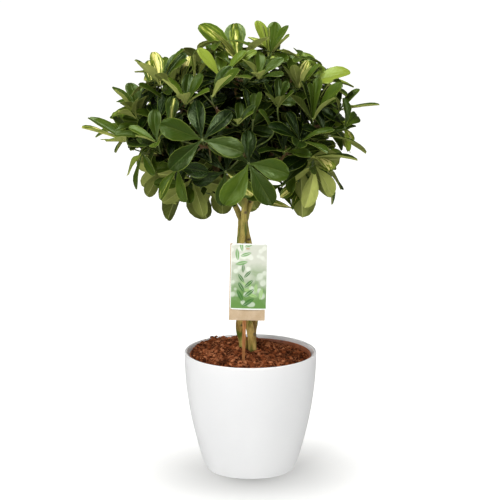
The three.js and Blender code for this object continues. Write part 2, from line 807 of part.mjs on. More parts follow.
function stemHole(name) {
  const path = [plaitPoint(stems[name], stemFoot - holeGap), plaitPoint(stems[name], plaitStart)];
  path.push([path[1][0], path[1][1], path[1][2] + holeAbove]);
  const radius = stemRadiusLow + holeGap / Math.cos(Math.PI / stemSides);
  return limb(path, [radius, radius, radius], stemSides);
}

// ---------- label ----------

// A flat piece as wide, thick and high as its size, standing on a middle point of its base,
// narrowing to a share of its width at the bottom and bowed back at its two sides.
function sheet([wide, thick, high], [x, y, z], { narrow = 1, bow = 0, steps = 1 }) {
  const shape = new THREE.Shape();
  const front = (i) => [(i / steps - 0.5) * wide, bow * 4 * (i / steps - 0.5) ** 2];
  for (let i = 0; i <= steps; i++) {
    if (i) shape.lineTo(...front(i));
    else shape.moveTo(...front(0));
  }
  for (let i = steps; i >= 0; i--) shape.lineTo(front(i)[0], front(i)[1] + thick);
  const geometry = new THREE.ExtrudeGeometry(shape, { depth: high, bevelEnabled: false });
  const places = geometry.attributes.position;
  for (let i = 0; i < places.count; i++) {
    if (places.getZ(i) < high / 2) places.setX(i, places.getX(i) * narrow);
  }
  return geometry.translate(x, y, z);
}

// Turns a piece made upright at the stick's foot to the label's lean.
function leaned(geometry) {
  geometry.rotateX(-labelLean * degree);
  geometry.rotateY(labelRoll * degree);
  return solid(geometry.translate(...stickFoot));
}

function stickSheet(spare) {
  const wide = stickWidth + 2 * spare;
  const high = stickBuried + stickAbove + spare;
  const narrow = (stickTipWidth + 2 * spare) / wide;
  return leaned(sheet([wide, stickThickness + 2 * spare, high], [0, -spare, -stickBuried - spare], { narrow }));
}

// The board's tongue, or with room round it the slot for it in the card.
function tongue(spare) {
  const [wide, deep, high] = tabSize;
  const front = -boardSize[1] - fitGap - deep + tabRoot;
  const place = [tabShift, front, boardLow + boardSize[2] - tabDown - spare];
  return leaned(sheet([wide + 2 * spare, deep + tabRoot, high + 2 * spare], place, {}));
}

function makeBoard() {
  const board = leaned(sheet(boardSize, [boardShift, -boardSize[1] - fitGap, boardLow], {}));
  return board.add(tongue(0));
}

function makeCard() {
  const front = -boardSize[1] - 2 * fitGap - cardSize[1] - cardBow;
  const place = [cardShift, front, boardLow + cardLift];
  return leaned(sheet(cardSize, place, { bow: cardBow, steps: cardSteps })).subtract(tongue(fitGap));
}

// ---------- the whole ----------

const greens = ["#3c6a28", "#4a7a30", "#335d24", "#56853a"];
const root = new THREE.Group();
const soilHoles = [...Object.keys(stems).map(stemHole), stickSheet(holeGap)];
root.add(piece("pot", makePot(), "#f2f1ee", 0.3));
root.add(piece("grow_pot", makeGrowPot(), "#8c4a2f", 0.6));
root.add(piece("soil", makeSoil(soilHoles), "#5f3a25", 0.95));
for (const name of Object.keys(stems)) {
  root.add(piece("stem_" + name, makeStem(name), "#9c9a58", 0.75));
}
shoots.forEach((shoot, i) => {
  const name = "shoot_" + String(i + 1).padStart(2, "0");
  root.add(piece(name, shootBody(shoot), greens[i % greens.length], 0.35));
});
root.add(piece("label_stick", stickSheet(0), "#a06a3c", 0.8));
root.add(piece("label_board", makeBoard(), "#c7a376", 0.85));
root.add(piece("label_card", makeCard(), "#a9cf9c", 0.45));

export default root;
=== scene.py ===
import math
import bpy
import numpy as np
from mathutils import Matrix, Vector, kdtree, noise


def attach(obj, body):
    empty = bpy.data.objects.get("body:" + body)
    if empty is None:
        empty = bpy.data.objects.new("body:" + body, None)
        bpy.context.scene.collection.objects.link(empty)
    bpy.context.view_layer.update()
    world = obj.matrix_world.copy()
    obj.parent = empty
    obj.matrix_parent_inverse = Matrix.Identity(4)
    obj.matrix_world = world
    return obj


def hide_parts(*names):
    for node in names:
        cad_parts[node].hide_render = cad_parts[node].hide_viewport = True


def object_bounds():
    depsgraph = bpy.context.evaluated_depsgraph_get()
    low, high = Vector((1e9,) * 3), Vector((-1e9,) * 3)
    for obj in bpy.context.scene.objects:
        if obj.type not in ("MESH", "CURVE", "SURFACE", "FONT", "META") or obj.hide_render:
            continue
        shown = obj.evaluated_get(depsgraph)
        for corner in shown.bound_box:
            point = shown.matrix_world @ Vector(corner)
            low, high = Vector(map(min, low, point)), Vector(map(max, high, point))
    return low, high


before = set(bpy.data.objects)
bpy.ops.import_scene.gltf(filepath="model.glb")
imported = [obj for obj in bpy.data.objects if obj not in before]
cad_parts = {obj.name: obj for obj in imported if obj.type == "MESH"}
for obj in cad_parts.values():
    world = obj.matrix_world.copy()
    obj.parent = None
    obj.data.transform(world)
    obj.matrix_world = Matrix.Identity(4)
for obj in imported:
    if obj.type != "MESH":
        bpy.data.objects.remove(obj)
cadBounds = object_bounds()
mm = 0.001  # the sizes below are in millimetres
degree = math.pi / 180
print("frame loaded:", len(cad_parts), "nodes")


# small helpers for points, curves and pieces

def unit(way):
    return way / np.linalg.norm(way)


def mixed(low, high, share):
    return low + (high - low) * share


def ramp(low, high, at):
    return min(max((at - low) / (high - low), 0), 1)


def eased(low, high, at):
    share = ramp(low, high, at)
    return share * share * (3 - 2 * share)


def bezier(a, b, c, d, shares):
    t = np.asarray(shares, float)[:, None]
    u = 1 - t
    return u**3 * a + 3 * u * u * t * b + 3 * u * t * t * c + t**3 * d


def arc(across, height, radius, angles):
    # rings round a foot or a lip
    return [(across + radius * math.cos(angle * degree), height + radius * math.sin(angle * degree))
            for angle in angles]


def drawsFrom(number):
    # the same seeded draws as the solids use, so that the leaflets come out alike
    state = (number * 7919 + 71) % 2**32
    for skipped in range(4):
        state = (state * 1664525 + 1013904223) % 2**32
    while True:
        state = (state * 1664525 + 1013904223) % 2**32
        yield state / 2**32


def nearestAmong(points):
    places = kdtree.KDTree(len(points))
    for i, point in enumerate(points):
        places.insert(point, i)
    places.balance()
    return places


def clearSelection():
    if bpy.context.object and bpy.context.object.mode != "OBJECT":
        bpy.ops.object.mode_set(mode="OBJECT")
    bpy.ops.object.select_all(action="DESELECT")


def added(operator, **settings):
    # what an operator adds, with nothing else selected
    clearSelection()
    operator(**settings)
    return bpy.context.object


def pick(piece):
    clearSelection()
    piece.select_set(True)
    bpy.context.view_layer.objects.active = piece


def applyAll(piece):
    pick(piece)
    for modifier in list(piece.modifiers):
        bpy.ops.object.modifier_apply(modifier=modifier.name)
    bpy.ops.object.transform_apply(location=True, rotation=True, scale=True)


def shadeByAngle(piece, angle):
    pick(piece)
    bpy.ops.object.shade_smooth_by_angle(angle=angle * degree)


def setValues(piece, name, values):
    # one value for each corner of the piece, for its material to read
    layer = piece.data.attributes.new(name, "FLOAT", "POINT")
    layer.data.foreach_set("value", np.asarray(values, np.float32))


def settle(piece, name, material, slotName, *nodes):
    piece.name = name
    piece.data.name = name
    piece.data.materials.clear()
    piece.data.materials.append(material)
    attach(piece, "root")
    if nodes:
        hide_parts(*nodes)


def stackedRings(rings, sides):
    # a round piece: a disc is added, and its face is extruded and scaled from ring to ring
    radius, height = rings[0]
    piece = added(bpy.ops.mesh.primitive_circle_add, vertices=sides, radius=radius * mm, fill_type="NGON",
                  location=(0, 0, height * mm))
    bpy.ops.object.transform_apply(location=True)
    bpy.ops.object.mode_set(mode="EDIT")
    bpy.ops.mesh.select_all(action="SELECT")
    for nextRadius, nextHeight in rings[1:]:
        rise = (0, 0, (nextHeight - height) * mm)
        bpy.ops.mesh.extrude_region_move(TRANSFORM_OT_translate={"value": rise})
        ratio = nextRadius / radius
        bpy.ops.transform.resize(value=(ratio, ratio, 1))
        radius, height = nextRadius, nextHeight
    bpy.ops.mesh.select_all(action="SELECT")
    bpy.ops.mesh.normals_make_consistent(inside=False)
    bpy.ops.object.mode_set(mode="OBJECT")
    return piece


def tubes(paths, sides):
    # bevelled curves through lists of points and radii, made one mesh with closed ends
    curve = bpy.data.curves.new("tubes", "CURVE")
    curve.dimensions = "3D"
    curve.bevel_depth = mm
    curve.bevel_resolution = (sides - 4) // 2
    curve.use_fill_caps = True
    for points, radii in paths:
        spline = curve.splines.new("POLY")
        spline.points.add(len(points) - 1)
        for spot, place, radius in zip(spline.points, points, radii):
            spot.co = (*(np.asarray(place) * mm), 1)
            spot.radius = radius
    piece = bpy.data.objects.new("tubes", curve)
    bpy.context.scene.collection.objects.link(piece)
    pick(piece)
    bpy.ops.object.convert(target="MESH")
    return bpy.context.object


def joined(pieces):
    clearSelection()
    for piece in pieces:
        piece.select_set(True)
    bpy.context.view_layer.objects.active = pieces[0]
    bpy.ops.object.join()
    return bpy.context.object


def takenApart(piece):
    # the corners and faces of a shape that is repeated many times, which itself goes
    corners = np.array([corner.co for corner in piece.data.vertices])
    faces = [list(face.vertices) for face in piece.data.polygons]
    bpy.data.objects.remove(piece)
    return corners, faces


def meshPiece(corners, faces):
    mesh = bpy.data.meshes.new("mesh")
    mesh.from_pydata([tuple(corner) for corner in corners], [], faces)
    mesh.update()
    piece = bpy.data.objects.new("piece", mesh)
    bpy.context.scene.collection.objects.link(piece)
    return piece


# shader nodes: a colour is three numbers or another node's output

def opaque(colour):
    return (*colour, 1) if isinstance(colour, tuple) else colour


def setInputs(tree, node, inputs):
    for key, value in inputs.items():
        if isinstance(value, bpy.types.NodeSocket):
            tree.links.new(value, node.inputs[key])
        else:
            node.inputs[key].default_value = value


def addNode(tree, kind, inputs, **settings):
    node = tree.nodes.new("ShaderNode" + kind)
    for key, value in settings.items():
        setattr(node, key, value)
    setInputs(tree, node, inputs)
    return node


def maths(tree, operation, first, second=0):
    return addNode(tree, "Math", {0: first, 1: second}, operation=operation).outputs[0]


def times(tree, first, second):
    return maths(tree, "MULTIPLY", first, second)


def plus(tree, first, second):
    return maths(tree, "ADD", first, second)


def minus(tree, first, second):
    return maths(tree, "SUBTRACT", first, second)


def weighed(tree, factor, low, high):
    return addNode(tree, "Mix", {0: factor, 2: low, 3: high}).outputs[0]


def blended(tree, factor, low, high):
    return addNode(tree, "Mix", {0: factor, 6: opaque(low), 7: opaque(high)}, data_type="RGBA").outputs[2]


def tinted(tree, base, mask, share, colour):
    # the base with a share of the colour over it where the mask is 1
    return blended(tree, times(tree, mask, share), base, colour)


def between(tree, value, low, high):
    # 0 below low, 1 above high, smooth between; low may be the higher number
    inputs = {"Value": value, "From Min": low, "From Max": high}
    return addNode(tree, "MapRange", inputs, interpolation_type="SMOOTHSTEP").outputs[0]


def attribute(tree, name):
    return addNode(tree, "Attribute", {}, attribute_type="GEOMETRY", attribute_name=name).outputs["Fac"]


def objectPlace(tree, scale=(1, 1, 1)):
    coordinates = addNode(tree, "TexCoord", {}).outputs["Object"]
    return addNode(tree, "Mapping", {"Vector": coordinates, "Scale": scale}).outputs[0]


def noiseAt(tree, place, scale, detail, **others):
    inputs = {"Vector": place, "Scale": scale, "Detail": detail, **others}
    return addNode(tree, "TexNoise", inputs).outputs["Fac"]


# the sockets of the node groups that aren't plain numbers
socketKinds = {"Vector": "Vector", "Place": "Vector", "Middle": "Vector", "First": "Color", "Second": "Color",
               "Color": "Color"}


def newGroup(name, inputs, outputs):
    group = bpy.data.node_groups.new(name, "ShaderNodeTree")
    for way, sockets in (("INPUT", inputs), ("OUTPUT", outputs)):
        for socket in sockets:
            kind = socketKinds.get(socket, "Float")
            group.interface.new_socket(name=socket, in_out=way, socket_type="NodeSocket" + kind)
    return group, group.nodes.new("NodeGroupInput").outputs, group.nodes.new("NodeGroupOutput")


def placed(tree, group, inputs):
    return addNode(tree, "Group", inputs, node_tree=group).outputs


def newMaterial(name, roughness, specular):
    material = bpy.data.materials.new(name)
    material.use_nodes = True
    shader = material.node_tree.nodes["Principled BSDF"]
    setInputs(material.node_tree, shader, {"Roughness": roughness, "Specular IOR Level": specular})
    return material, material.node_tree, shader


def bumpInto(tree, shader, height, strength, distance):
    bump = addNode(tree, "Bump", {"Height": height, "Strength": strength, "Distance": distance})
    setInputs(tree, shader, {"Normal": bump.outputs[0]})


# a colour that wanders between two tones, with the pattern's own value beside it
mottleInputs = ("Vector", "Scale", "Low", "High", "First", "Second")
mottle, given, wanted = newGroup("mottle", mottleInputs, ("Color", "Value"))
patches = noiseAt(mottle, given["Vector"], given["Scale"], 5, Roughness=0.6)
spread = between(mottle, patches, given["Low"], given["High"])
colour = blended(mottle, spread, given["First"], given["Second"])
setInputs(mottle, wanted, {"Color": colour, "Value": spread})

# small unevenness for bump, coarse and fine
grain, given, wanted = newGroup("grain", ("Vector", "Coarse", "Fine", "Balance"), ("Height",))
coarse = noiseAt(grain, given["Vector"], given["Coarse"], 3)
fine = noiseAt(grain, given["Vector"], given["Fine"], 4)
setInputs(grain, wanted, {"Height": weighed(grain, given["Balance"], coarse, fine)})


def mottled(tree, place, scale, low, high, first, second):
    return placed(tree, mottle, {"Vector": place, "Scale": scale, "Low": low, "High": high,
                                 "First": opaque(first), "Second": opaque(second)})


def grained(tree, place, coarse, fine, balance):
    inputs = {"Vector": place, "Coarse": coarse, "Fine": fine, "Balance": balance}
    return placed(tree, grain, inputs)["Height"]


def planterPlastic():
    material, tree, shader = newMaterial("planterPlastic", 0.42, 0.45)
    place = objectPlace(tree)
    colour = mottled(tree, place, 9, 0.35, 0.7, (0.77, 0.775, 0.784), (0.785, 0.79, 0.794))["Color"]
    # the lip and the inside are painted a brighter white as painted light, where they lie in shade, and light
    # comes through the thin wall
    paintedLightWhite = blended(tree, attribute(tree, "inside"), colour, (0.94, 0.955, 0.965))
    setInputs(tree, shader, {"Base Color": paintedLightWhite, "Subsurface Weight": 0.8, "Subsurface Radius": (1, 1, 1),
                             "Subsurface Scale": 0.011})
    bumpInto(tree, shader, grained(tree, place, 60, 900, 0.6), 0.12, 0.0004)
    return material


def nurseryPlastic():
    material, tree, shader = newMaterial("nurseryPlastic", 0.5, 0.4)
    place = objectPlace(tree)
    colour = mottled(tree, place, 30, 0.3, 0.7, (0.36, 0.115, 0.05), (0.46, 0.16, 0.075))["Color"]
    dust = between(tree, noiseAt(tree, place, 160, 6), 0.56, 0.7)
    setInputs(tree, shader, {"Base Color": tinted(tree, colour, dust, 0.5, (0.10, 0.04, 0.022))})
    bumpInto(tree, shader, grained(tree, place, 120, 1100, 0.5), 0.2, 0.0006)
    return material


def pottingMix(name, light):
    # light is how much paler the loose chips are than the bed under them
    material, tree, shader = newMaterial(name, 0.9, 0.12)
    place, tone = objectPlace(tree), attribute(tree, "tone")
    pitShadeColour, dark, mid, pale = (tuple(part * light for part in colour) for colour in (
        (0.022, 0.006, 0.003), (0.045, 0.011, 0.0035), (0.31, 0.087, 0.028), (0.60, 0.23, 0.10)))
    colour = mottled(tree, place, 110, 0.36, 0.66, dark, mid)["Color"]
    colour = blended(tree, between(tree, tone, 0.35, 1), colour, pale)
    # painted shade: the pits between the clods are darkened
    colour = tinted(tree, colour, between(tree, tone, 0.1, -0.8), 0.92, pitShadeColour)
    streaks = between(tree, noiseAt(tree, objectPlace(tree, (1, 1, 4)), 420, 4), 0.4, 0.65)
    setInputs(tree, shader, {"Base Color": tinted(tree, colour, streaks, 0.3, mid)})
    bumpInto(tree, shader, grained(tree, place, 260, 1500, 0.5), 0.8, 0.0015)
    return material


def barkSkin():
    # green young bark: tan and green patches, dark leaf scars and fine dark specks, with painted shade inside
    # the crown
    material, tree, shader = newMaterial("youngBark", 0.55, 0.3)
    streaked = objectPlace(tree, (1, 1, 0.28))
    height = addNode(tree, "SeparateXYZ", {0: objectPlace(tree)}).outputs[2]
    colour = mottled(tree, streaked, 95, 0.34, 0.64, (0.225, 0.135, 0.026), (0.575, 0.405, 0.115))["Color"]
    neck = between(tree, height, 0.3, 0.42)  # greener toward the neck
    colour = tinted(tree, colour, neck, 0.34, (0.24, 0.29, 0.04))
    green = between(tree, noiseAt(tree, streaked, 62, 4, Distortion=0.6), 0.5, 0.63)
    colour = blended(tree, green, colour, (0.105, 0.14, 0.014))
    paintedCrownShade = between(tree, height, 0.455, 0.52)  # painted shade: darker brown inside the crown, where the leaves shade the stems
    colour = tinted(tree, colour, paintedCrownShade, 0.85, (0.085, 0.036, 0.013))
    spots = addNode(tree, "TexVoronoi", {"Vector": objectPlace(tree, (1, 1, 1.6)), "Scale": 260}).outputs
    near = between(tree, spots["Distance"], 0.24, 0.1)
    chosen = between(tree, addNode(tree, "SeparateColor", {0: spots["Color"]}).outputs[0], 0.66, 0.7)
    colour = tinted(tree, colour, near, chosen, (0.10, 0.062, 0.024))
    scar = attribute(tree, "scar")
    colour = blended(tree, between(tree, scar, 0.12, 0.5), colour, (0.16, 0.115, 0.045))
    colour = blended(tree, between(tree, scar, 0.55, 0.9), colour, (0.045, 0.03, 0.014))
    setInputs(tree, shader, {"Base Color": colour})
    ridges = grained(tree, streaked, 200, 800, 0.45)
    bumpInto(tree, shader, plus(tree, ridges, times(tree, near, -0.25)), 0.5, 0.0011)
    return material


def stalkSkin():
    material, tree, shader = newMaterial("stalkSkin", 0.45, 0.5)
    place = objectPlace(tree)
    colour = mottled(tree, place, 70, 0.35, 0.65, (0.055, 0.09, 0.012), (0.15, 0.18, 0.04))["Color"]
    brown = blended(tree, between(tree, attribute(tree, "tone"), 0.1, 1), colour, (0.11, 0.055, 0.018))
    setInputs(tree, shader, {"Base Color": brown})
    bumpInto(tree, shader, grained(tree, place, 300, 1200, 0.5), 0.3, 0.0005)
    return material


def leafSkin():
    # leafPlace runs along the leaflet in U and across it in V; leafFace is 1 above and -1 below
    material, tree, shader = newMaterial("leafSkin", 0.4, 0.3)
    place = addNode(tree, "UVMap", {}, uv_map="leafPlace").outputs[0]
    along, across = addNode(tree, "SeparateXYZ", {0: place}).outputs[:2]
    tone, gold = attribute(tree, "leafToneAndPaintedLight"), attribute(tree, "leafGold")
    above = between(tree, attribute(tree, "leafFace"), -0.5, 0.5)
    aside = maths(tree, "ABSOLUTE", minus(tree, across, 0.5))  # 0 at the midrib, 0.5 at the edge
    shifted = addNode(tree, "CombineXYZ", {0: along, 1: across, 2: times(tree, tone, 40)}).outputs[0]

    # side veins that leave the midrib forwards
    lines = minus(tree, times(tree, along, 11), times(tree, aside, 6.5))
    wobble = times(tree, noiseAt(tree, shifted, 5, 2), 0.8)
    vein = between(tree, maths(tree, "PINGPONG", plus(tree, lines, wobble), 0.5), 0.1, 0)
    midrib = between(tree, aside, 0.034, 0.012)
    # painted highlight: a pale rim along the edge of the upper face, where the edge catches the light
    paintedEdgeHighlight = between(tree, aside, 0.455, 0.495)

    blotch = noiseAt(tree, shifted, 3.2, 3, Roughness=0.55)
    # the leaflet's tone is painted light and shade from its place in the crown, plus random tone; its light
    # end is tinted lime on the upper face
    upper = blended(tree, tone, (0.0007, 0.004, 0.0003), (0.086, 0.138, 0.011))
    upper = tinted(tree, upper, between(tree, blotch, 0.35, 0.8), 0.5, (0.016, 0.046, 0.003))
    upper = tinted(tree, upper, between(tree, tone, 0.7, 1), 0.75, (0.24, 0.30, 0.036))
    upper = tinted(tree, upper, vein, 0.12, (0.10, 0.15, 0.02))
    upper = tinted(tree, upper, midrib, 0.16, (0.16, 0.21, 0.04))
    upper = tinted(tree, upper, paintedEdgeHighlight, 0.6, (0.19, 0.25, 0.04))
    # the lower face's pale yellow-olive is partly its own colour and partly painted light, standing in for
    # light shining through the leaf
    lower = blended(tree, tone, (0.04, 0.056, 0.005), (0.52, 0.56, 0.15))
    lower = tinted(tree, lower, between(tree, blotch, 0.4, 0.7), 0.3, (0.08, 0.11, 0.014))
    lower = tinted(tree, lower, vein, 0.3, (0.26, 0.29, 0.08))
    lower = tinted(tree, lower, midrib, 0.7, (0.36, 0.38, 0.13))
    plain = blended(tree, above, lower, upper)

    # cream and yellow patches that spread from the midrib on some leaflets
    stretched = addNode(tree, "Mapping", {"Vector": shifted, "Scale": (1.6, 5, 1)}).outputs[0]
    flecks = noiseAt(tree, stretched, 1.7, 4, Roughness=0.6)
    reach = plus(tree, flecks, times(tree, aside, -0.5))
    past = minus(tree, reach, minus(tree, 0.86, times(tree, gold, 0.5)))
    lime = tinted(tree, plain, between(tree, past, -0.16, 0), 0.8, (0.22, 0.27, 0.03))
    cream = blended(tree, above, (0.50, 0.50, 0.12), (0.72, 0.66, 0.22))
    setInputs(tree, shader, {"Base Color": blended(tree, between(tree, past, 0, 0.05), lime, cream),
                             "Roughness": weighed(tree, above, 0.9, 0.27),
                             "Specular Tint": (0.75, 1, 0.5, 1)})

    ribs = plus(tree, times(tree, vein, 0.3), midrib)
    pores = times(tree, noiseAt(tree, shifted, 26, 3), 0.4)
    swells = times(tree, noiseAt(tree, shifted, 4.5, 1), 3)
    bumpInto(tree, shader, plus(tree, ribs, plus(tree, pores, swells)), 0.35, 0.001)
    return material


def stickWood():
    material, tree, shader = newMaterial("stickWood", 0.75, 0.3)
    lengthways = objectPlace(tree, (1, 1, 0.07))
    colour = mottled(tree, lengthways, 420, 0.35, 0.65, (0.225, 0.08, 0.022), (0.42, 0.185, 0.06))
    setInputs(tree, shader, {"Base Color": colour["Color"]})
    bumpInto(tree, shader, colour["Value"], 0.35, 0.0004)
    return material


def kraftBoard():
    material, tree, shader = newMaterial("kraftBoard", 0.85, 0.25)
    place = objectPlace(tree)
    colour = mottled(tree, place, 60, 0.3, 0.7, (0.52, 0.385, 0.24), (0.61, 0.475, 0.32))["Color"]
    flecks = between(tree, noiseAt(tree, objectPlace(tree, (1, 1, 3)), 900, 3), 0.62, 0.7)
    setInputs(tree, shader, {"Base Color": tinted(tree, colour, flecks, 0.4, (0.26, 0.15, 0.07))})
    bumpInto(tree, shader, grained(tree, place, 500, 2000, 0.5), 0.3, 0.0003)
    return material


# a slim leaf shape on the card's print: 1 inside it, with its midrib left out
motif, given, wanted = newGroup("leafMotif", ("Place", "Middle", "Turn", "Length", "Width"), ("Inside",))
moved = addNode(motif, "VectorMath", {0: given["Place"], 1: given["Middle"]}, operation="SUBTRACT").outputs[0]
turned = addNode(motif, "VectorRotate", {"Vector": moved, "Angle": given["Turn"]}, rotation_type="Z_AXIS")
along, across = addNode(motif, "SeparateXYZ", {0: turned.outputs[0]}).outputs[:2]
lengthways = maths(motif, "DIVIDE", along, given["Length"])
bulge = maths(motif, "MAXIMUM", minus(motif, 1, times(motif, lengthways, lengthways)))
distance = maths(motif, "ABSOLUTE", across)
inside = between(motif, minus(motif, times(motif, bulge, given["Width"]), distance), 0, 0.012)
rib = between(motif, distance, 0.003, 0.009)
setInputs(motif, wanted, {"Inside": times(motif, inside, rib)})

cardPattern = {"highToWide": 1.83, "bend": 14, "leafTurn": 40, "leafShrink": 0.35, "leafAway": 0.9,
               "leafWide": 0.3,
               # of each sprig: foot across and up the card, turn, reach, leaves, leaf length, colour
               "sprigs": ((0.86, 0.10, 118, 0.62, 6, 0.20, (0.36, 0.56, 0.20)),
                          (0.04, 0.62, 52, 0.95, 7, 0.21, (0.15, 0.36, 0.09)),
                          (0.30, -0.02, 74, 1.05, 8, 0.23, (0.045, 0.16, 0.03)))}


def headingOf(angle):
    return np.array([math.cos(angle), math.sin(angle)])


def sprigLeaves(x, y, turn, reach, count, length):
    # middle and turn of each leaf of a sprig, left and right by turns, with one at its end
    leaves = []
    foot = np.array([x, y * cardPattern["highToWide"]])
    for k in range(count):
        share = (k + 1) / count
        aside = 0 if k == count - 1 else cardPattern["leafTurn"] * (1 if k % 2 else -1)
        bent = turn + cardPattern["bend"] * share
        way = (bent + aside) * degree
        size = length * (1 - cardPattern["leafShrink"] * share)
        stem = headingOf(bent * degree) * reach * share
        leaves.append((foot + stem + headingOf(way) * size * cardPattern["leafAway"], way, size))
    return leaves


def cardPrint():
    # a made-up print: soft green light, with sprigs of slim leaves from two corners
    material, tree, shader = newMaterial("cardPrint", 0.35, 0.45)
    place = addNode(tree, "UVMap", {}, uv_map="cardPrint").outputs[0]
    across, up = addNode(tree, "SeparateXYZ", {0: place}).outputs[:2]
    square = (1, cardPattern["highToWide"], 1)
    scaled = addNode(tree, "Mapping", {"Vector": place, "Scale": square}).outputs[0]
    haze = minus(tree, noiseAt(tree, scaled, 3.4, 2, Distortion=0.4), 0.5)
    height = plus(tree, up, times(tree, haze, 0.7))
    colour = blended(tree, between(tree, height, 0.05, 0.85), (0.13, 0.27, 0.06), (0.64, 0.66, 0.56))
    glow = addNode(tree, "TexVoronoi", {"Vector": scaled, "Scale": 5.5, "Smoothness": 1}, feature="SMOOTH_F1")
    spots = between(tree, glow.outputs["Distance"], 0.42, 0.24)
    colour = tinted(tree, colour, spots, 0.45, (0.92, 0.95, 0.86))
    for *sprig, ink in cardPattern["sprigs"]:
        for middle, way, size in sprigLeaves(*sprig):
            leaf = placed(tree, motif, {"Place": scaled, "Middle": (*middle, 0), "Turn": -way, "Length": size,
                                        "Width": size * cardPattern["leafWide"]})["Inside"]
            colour = tinted(tree, colour, leaf, 0.88, ink)
    away = maths(tree, "MAXIMUM", maths(tree, "ABSOLUTE", minus(tree, across, 0.5)),
                 maths(tree, "ABSOLUTE", minus(tree, up, 0.5)))
    border = between(tree, away, 0.478, 0.484)
    setInputs(tree, shader, {"Base Color": blended(tree, border, colour, (0.86, 0.88, 0.84))})
    bumpInto(tree, shader, grained(tree, objectPlace(tree), 300, 1600, 0.5), 0.08, 0.0002)
    return material


# planter and nursery pot

planter = {"rim": 110, "height": 202, "taper": 36, "wall": 4.6, "floor": 6, "foot": 68, "footRound": 6,
           "sideLow": 14, "lip": 2.2, "sides": 160, "rings": 22}


def planterRadius(height):
    share = 1 - height / planter["height"]
    return planter["rim"] - planter["taper"] * share * share


def makePlanter():
    foot, footRound, floor, lip = (planter[key] for key in ("foot", "footRound", "floor", "lip"))
    lipHeight = planter["height"] - lip
    rings = [(foot - 3, 0), (foot, 0)] + arc(foot, footRound, footRound, range(-75, -14, 15))
    rings += [(planterRadius(height), height)
              for height in np.linspace(planter["sideLow"], lipHeight - 1, planter["rings"])]
    rings += arc(planter["rim"] - lip, lipHeight, lip, range(0, 181, 20))
    rings += [(planterRadius(height) - planter["wall"], height)
              for height in np.linspace(lipHeight - 3, floor + 4, planter["rings"] // 2)]
    inner = planterRadius(floor) - planter["wall"]
    rings += [(inner - 2, floor + 1), (inner - 6, floor), (4, floor)]
    piece = stackedRings(rings, planter["sides"])
    # marks the lip and the inner wall, which the material paints a brighter white as painted light
    inside = []
    for corner in piece.data.vertices:
        x, y, z = corner.co / mm
        within = z > planter["height"] / 2 and math.hypot(x, y) < planterRadius(z) - 1
        inside.append(z > planter["height"] - 1 or within)
    setValues(piece, "inside", inside)
    shadeByAngle(piece, 40)
    settle(piece, "planter", planterPlastic(), "planter_plastic", "pot")


nursery = {"floor": 6.3, "top": 197.5, "rimDepth": 11, "foot": 68, "shoulder": 97, "rim": 101.5, "wall": 1.6,
           "rimWall": 2.6, "sides": 128, "drains": 5, "drainRadius": 7, "drainCircle": 42}


def makeNurseryPot():
    low, top, wall, foot = (nursery[key] for key in ("floor", "top", "wall", "foot"))
    rim, shoulder, shoulderHeight = nursery["rim"], nursery["shoulder"], top - nursery["rimDepth"]
    rimInside = rim - nursery["rimWall"]
    rings = [(4, low), (foot - 3, low), (foot - 1, low + 0.8), (foot, low + 3)]
    for share in np.linspace(0.1, 1, 10):
        rings.append((mixed(foot, shoulder, share), mixed(low + 3, shoulderHeight, share)))
    rings += [(rim - 0.8, shoulderHeight + 0.5), (rim, shoulderHeight + 1.4), (rim, top - 1.2),
              (rim - 0.4, top - 0.4), (rim - 1.2, top), (rimInside + 0.5, top - 0.2), (rimInside, top - 1),
              (rimInside, shoulderHeight + 2.8), (shoulder - wall, shoulderHeight)]
    for share in np.linspace(0.9, 0, 10):
        rings.append((mixed(foot, shoulder, share) - wall, mixed(low + 3, shoulderHeight, share)))
    rings += [(foot - 3, low + wall), (4, low + wall)]
    piece = stackedRings(rings, nursery["sides"])
    for k in range(nursery["drains"]):
        angle = k / nursery["drains"] * 2 * math.pi
        place = Vector((math.cos(angle), math.sin(angle), 0)) * nursery["drainCircle"] * mm
        place.z = low * mm
        drill = added(bpy.ops.mesh.primitive_cylinder_add, vertices=24, radius=nursery["drainRadius"] * mm,
                      depth=8 * mm, location=place)
        cut = piece.modifiers.new("drain", "BOOLEAN")
        cut.operation, cut.object = "DIFFERENCE", drill
        pick(piece)
        bpy.ops.object.modifier_apply(modifier="drain")
        bpy.data.objects.remove(drill)
    shadeByAngle(piece, 35)
    settle(piece, "nurseryPot", nurseryPlastic(), "nursery_plastic", "grow_pot")


# soil: an uneven bed with loose chips and fibres on it

soil = {"edge": 193, "mound": 13, "lean": 8, "leanTurn": 150, "rough": 4.6, "clodSizes": (15, 6.5),
        "hollow": 5, "hollowAt": (42, 84), "hollowReach": (42, 30), "pitShade": 1.6, "rings": 44,
        "sides": 132, "spare": 0.8, "draws": 31,
        "chips": 2300, "chipLeast": 2.4, "chipRange": 9, "chipKinds": 9,
        "fibres": 260, "fibreReach": 90, "fibreStep": 3.2, "fibreRadii": (0.32, 0.4, 0.4, 0.36, 0.2),
        "trunkAt": 205, "clearRound": (9, 9, 9, 5)}  # the three stems and the stick
soilReach = nursery["rim"] - nursery["rimWall"] - soil["spare"]


def clodsAt(x, y):
    # clods of two sizes, the large ones higher
    large, small = soil["clodSizes"]
    return noise.noise(Vector((x, y, 3)) / large) * 1.5 + noise.noise(Vector((x, y, 8)) / small)


def soilTone(x, y):
    # below 0 in the pits between the clods, which are darkened as painted shade
    return min(clodsAt(x, y) + 0.1, 0) * soil["pitShade"]


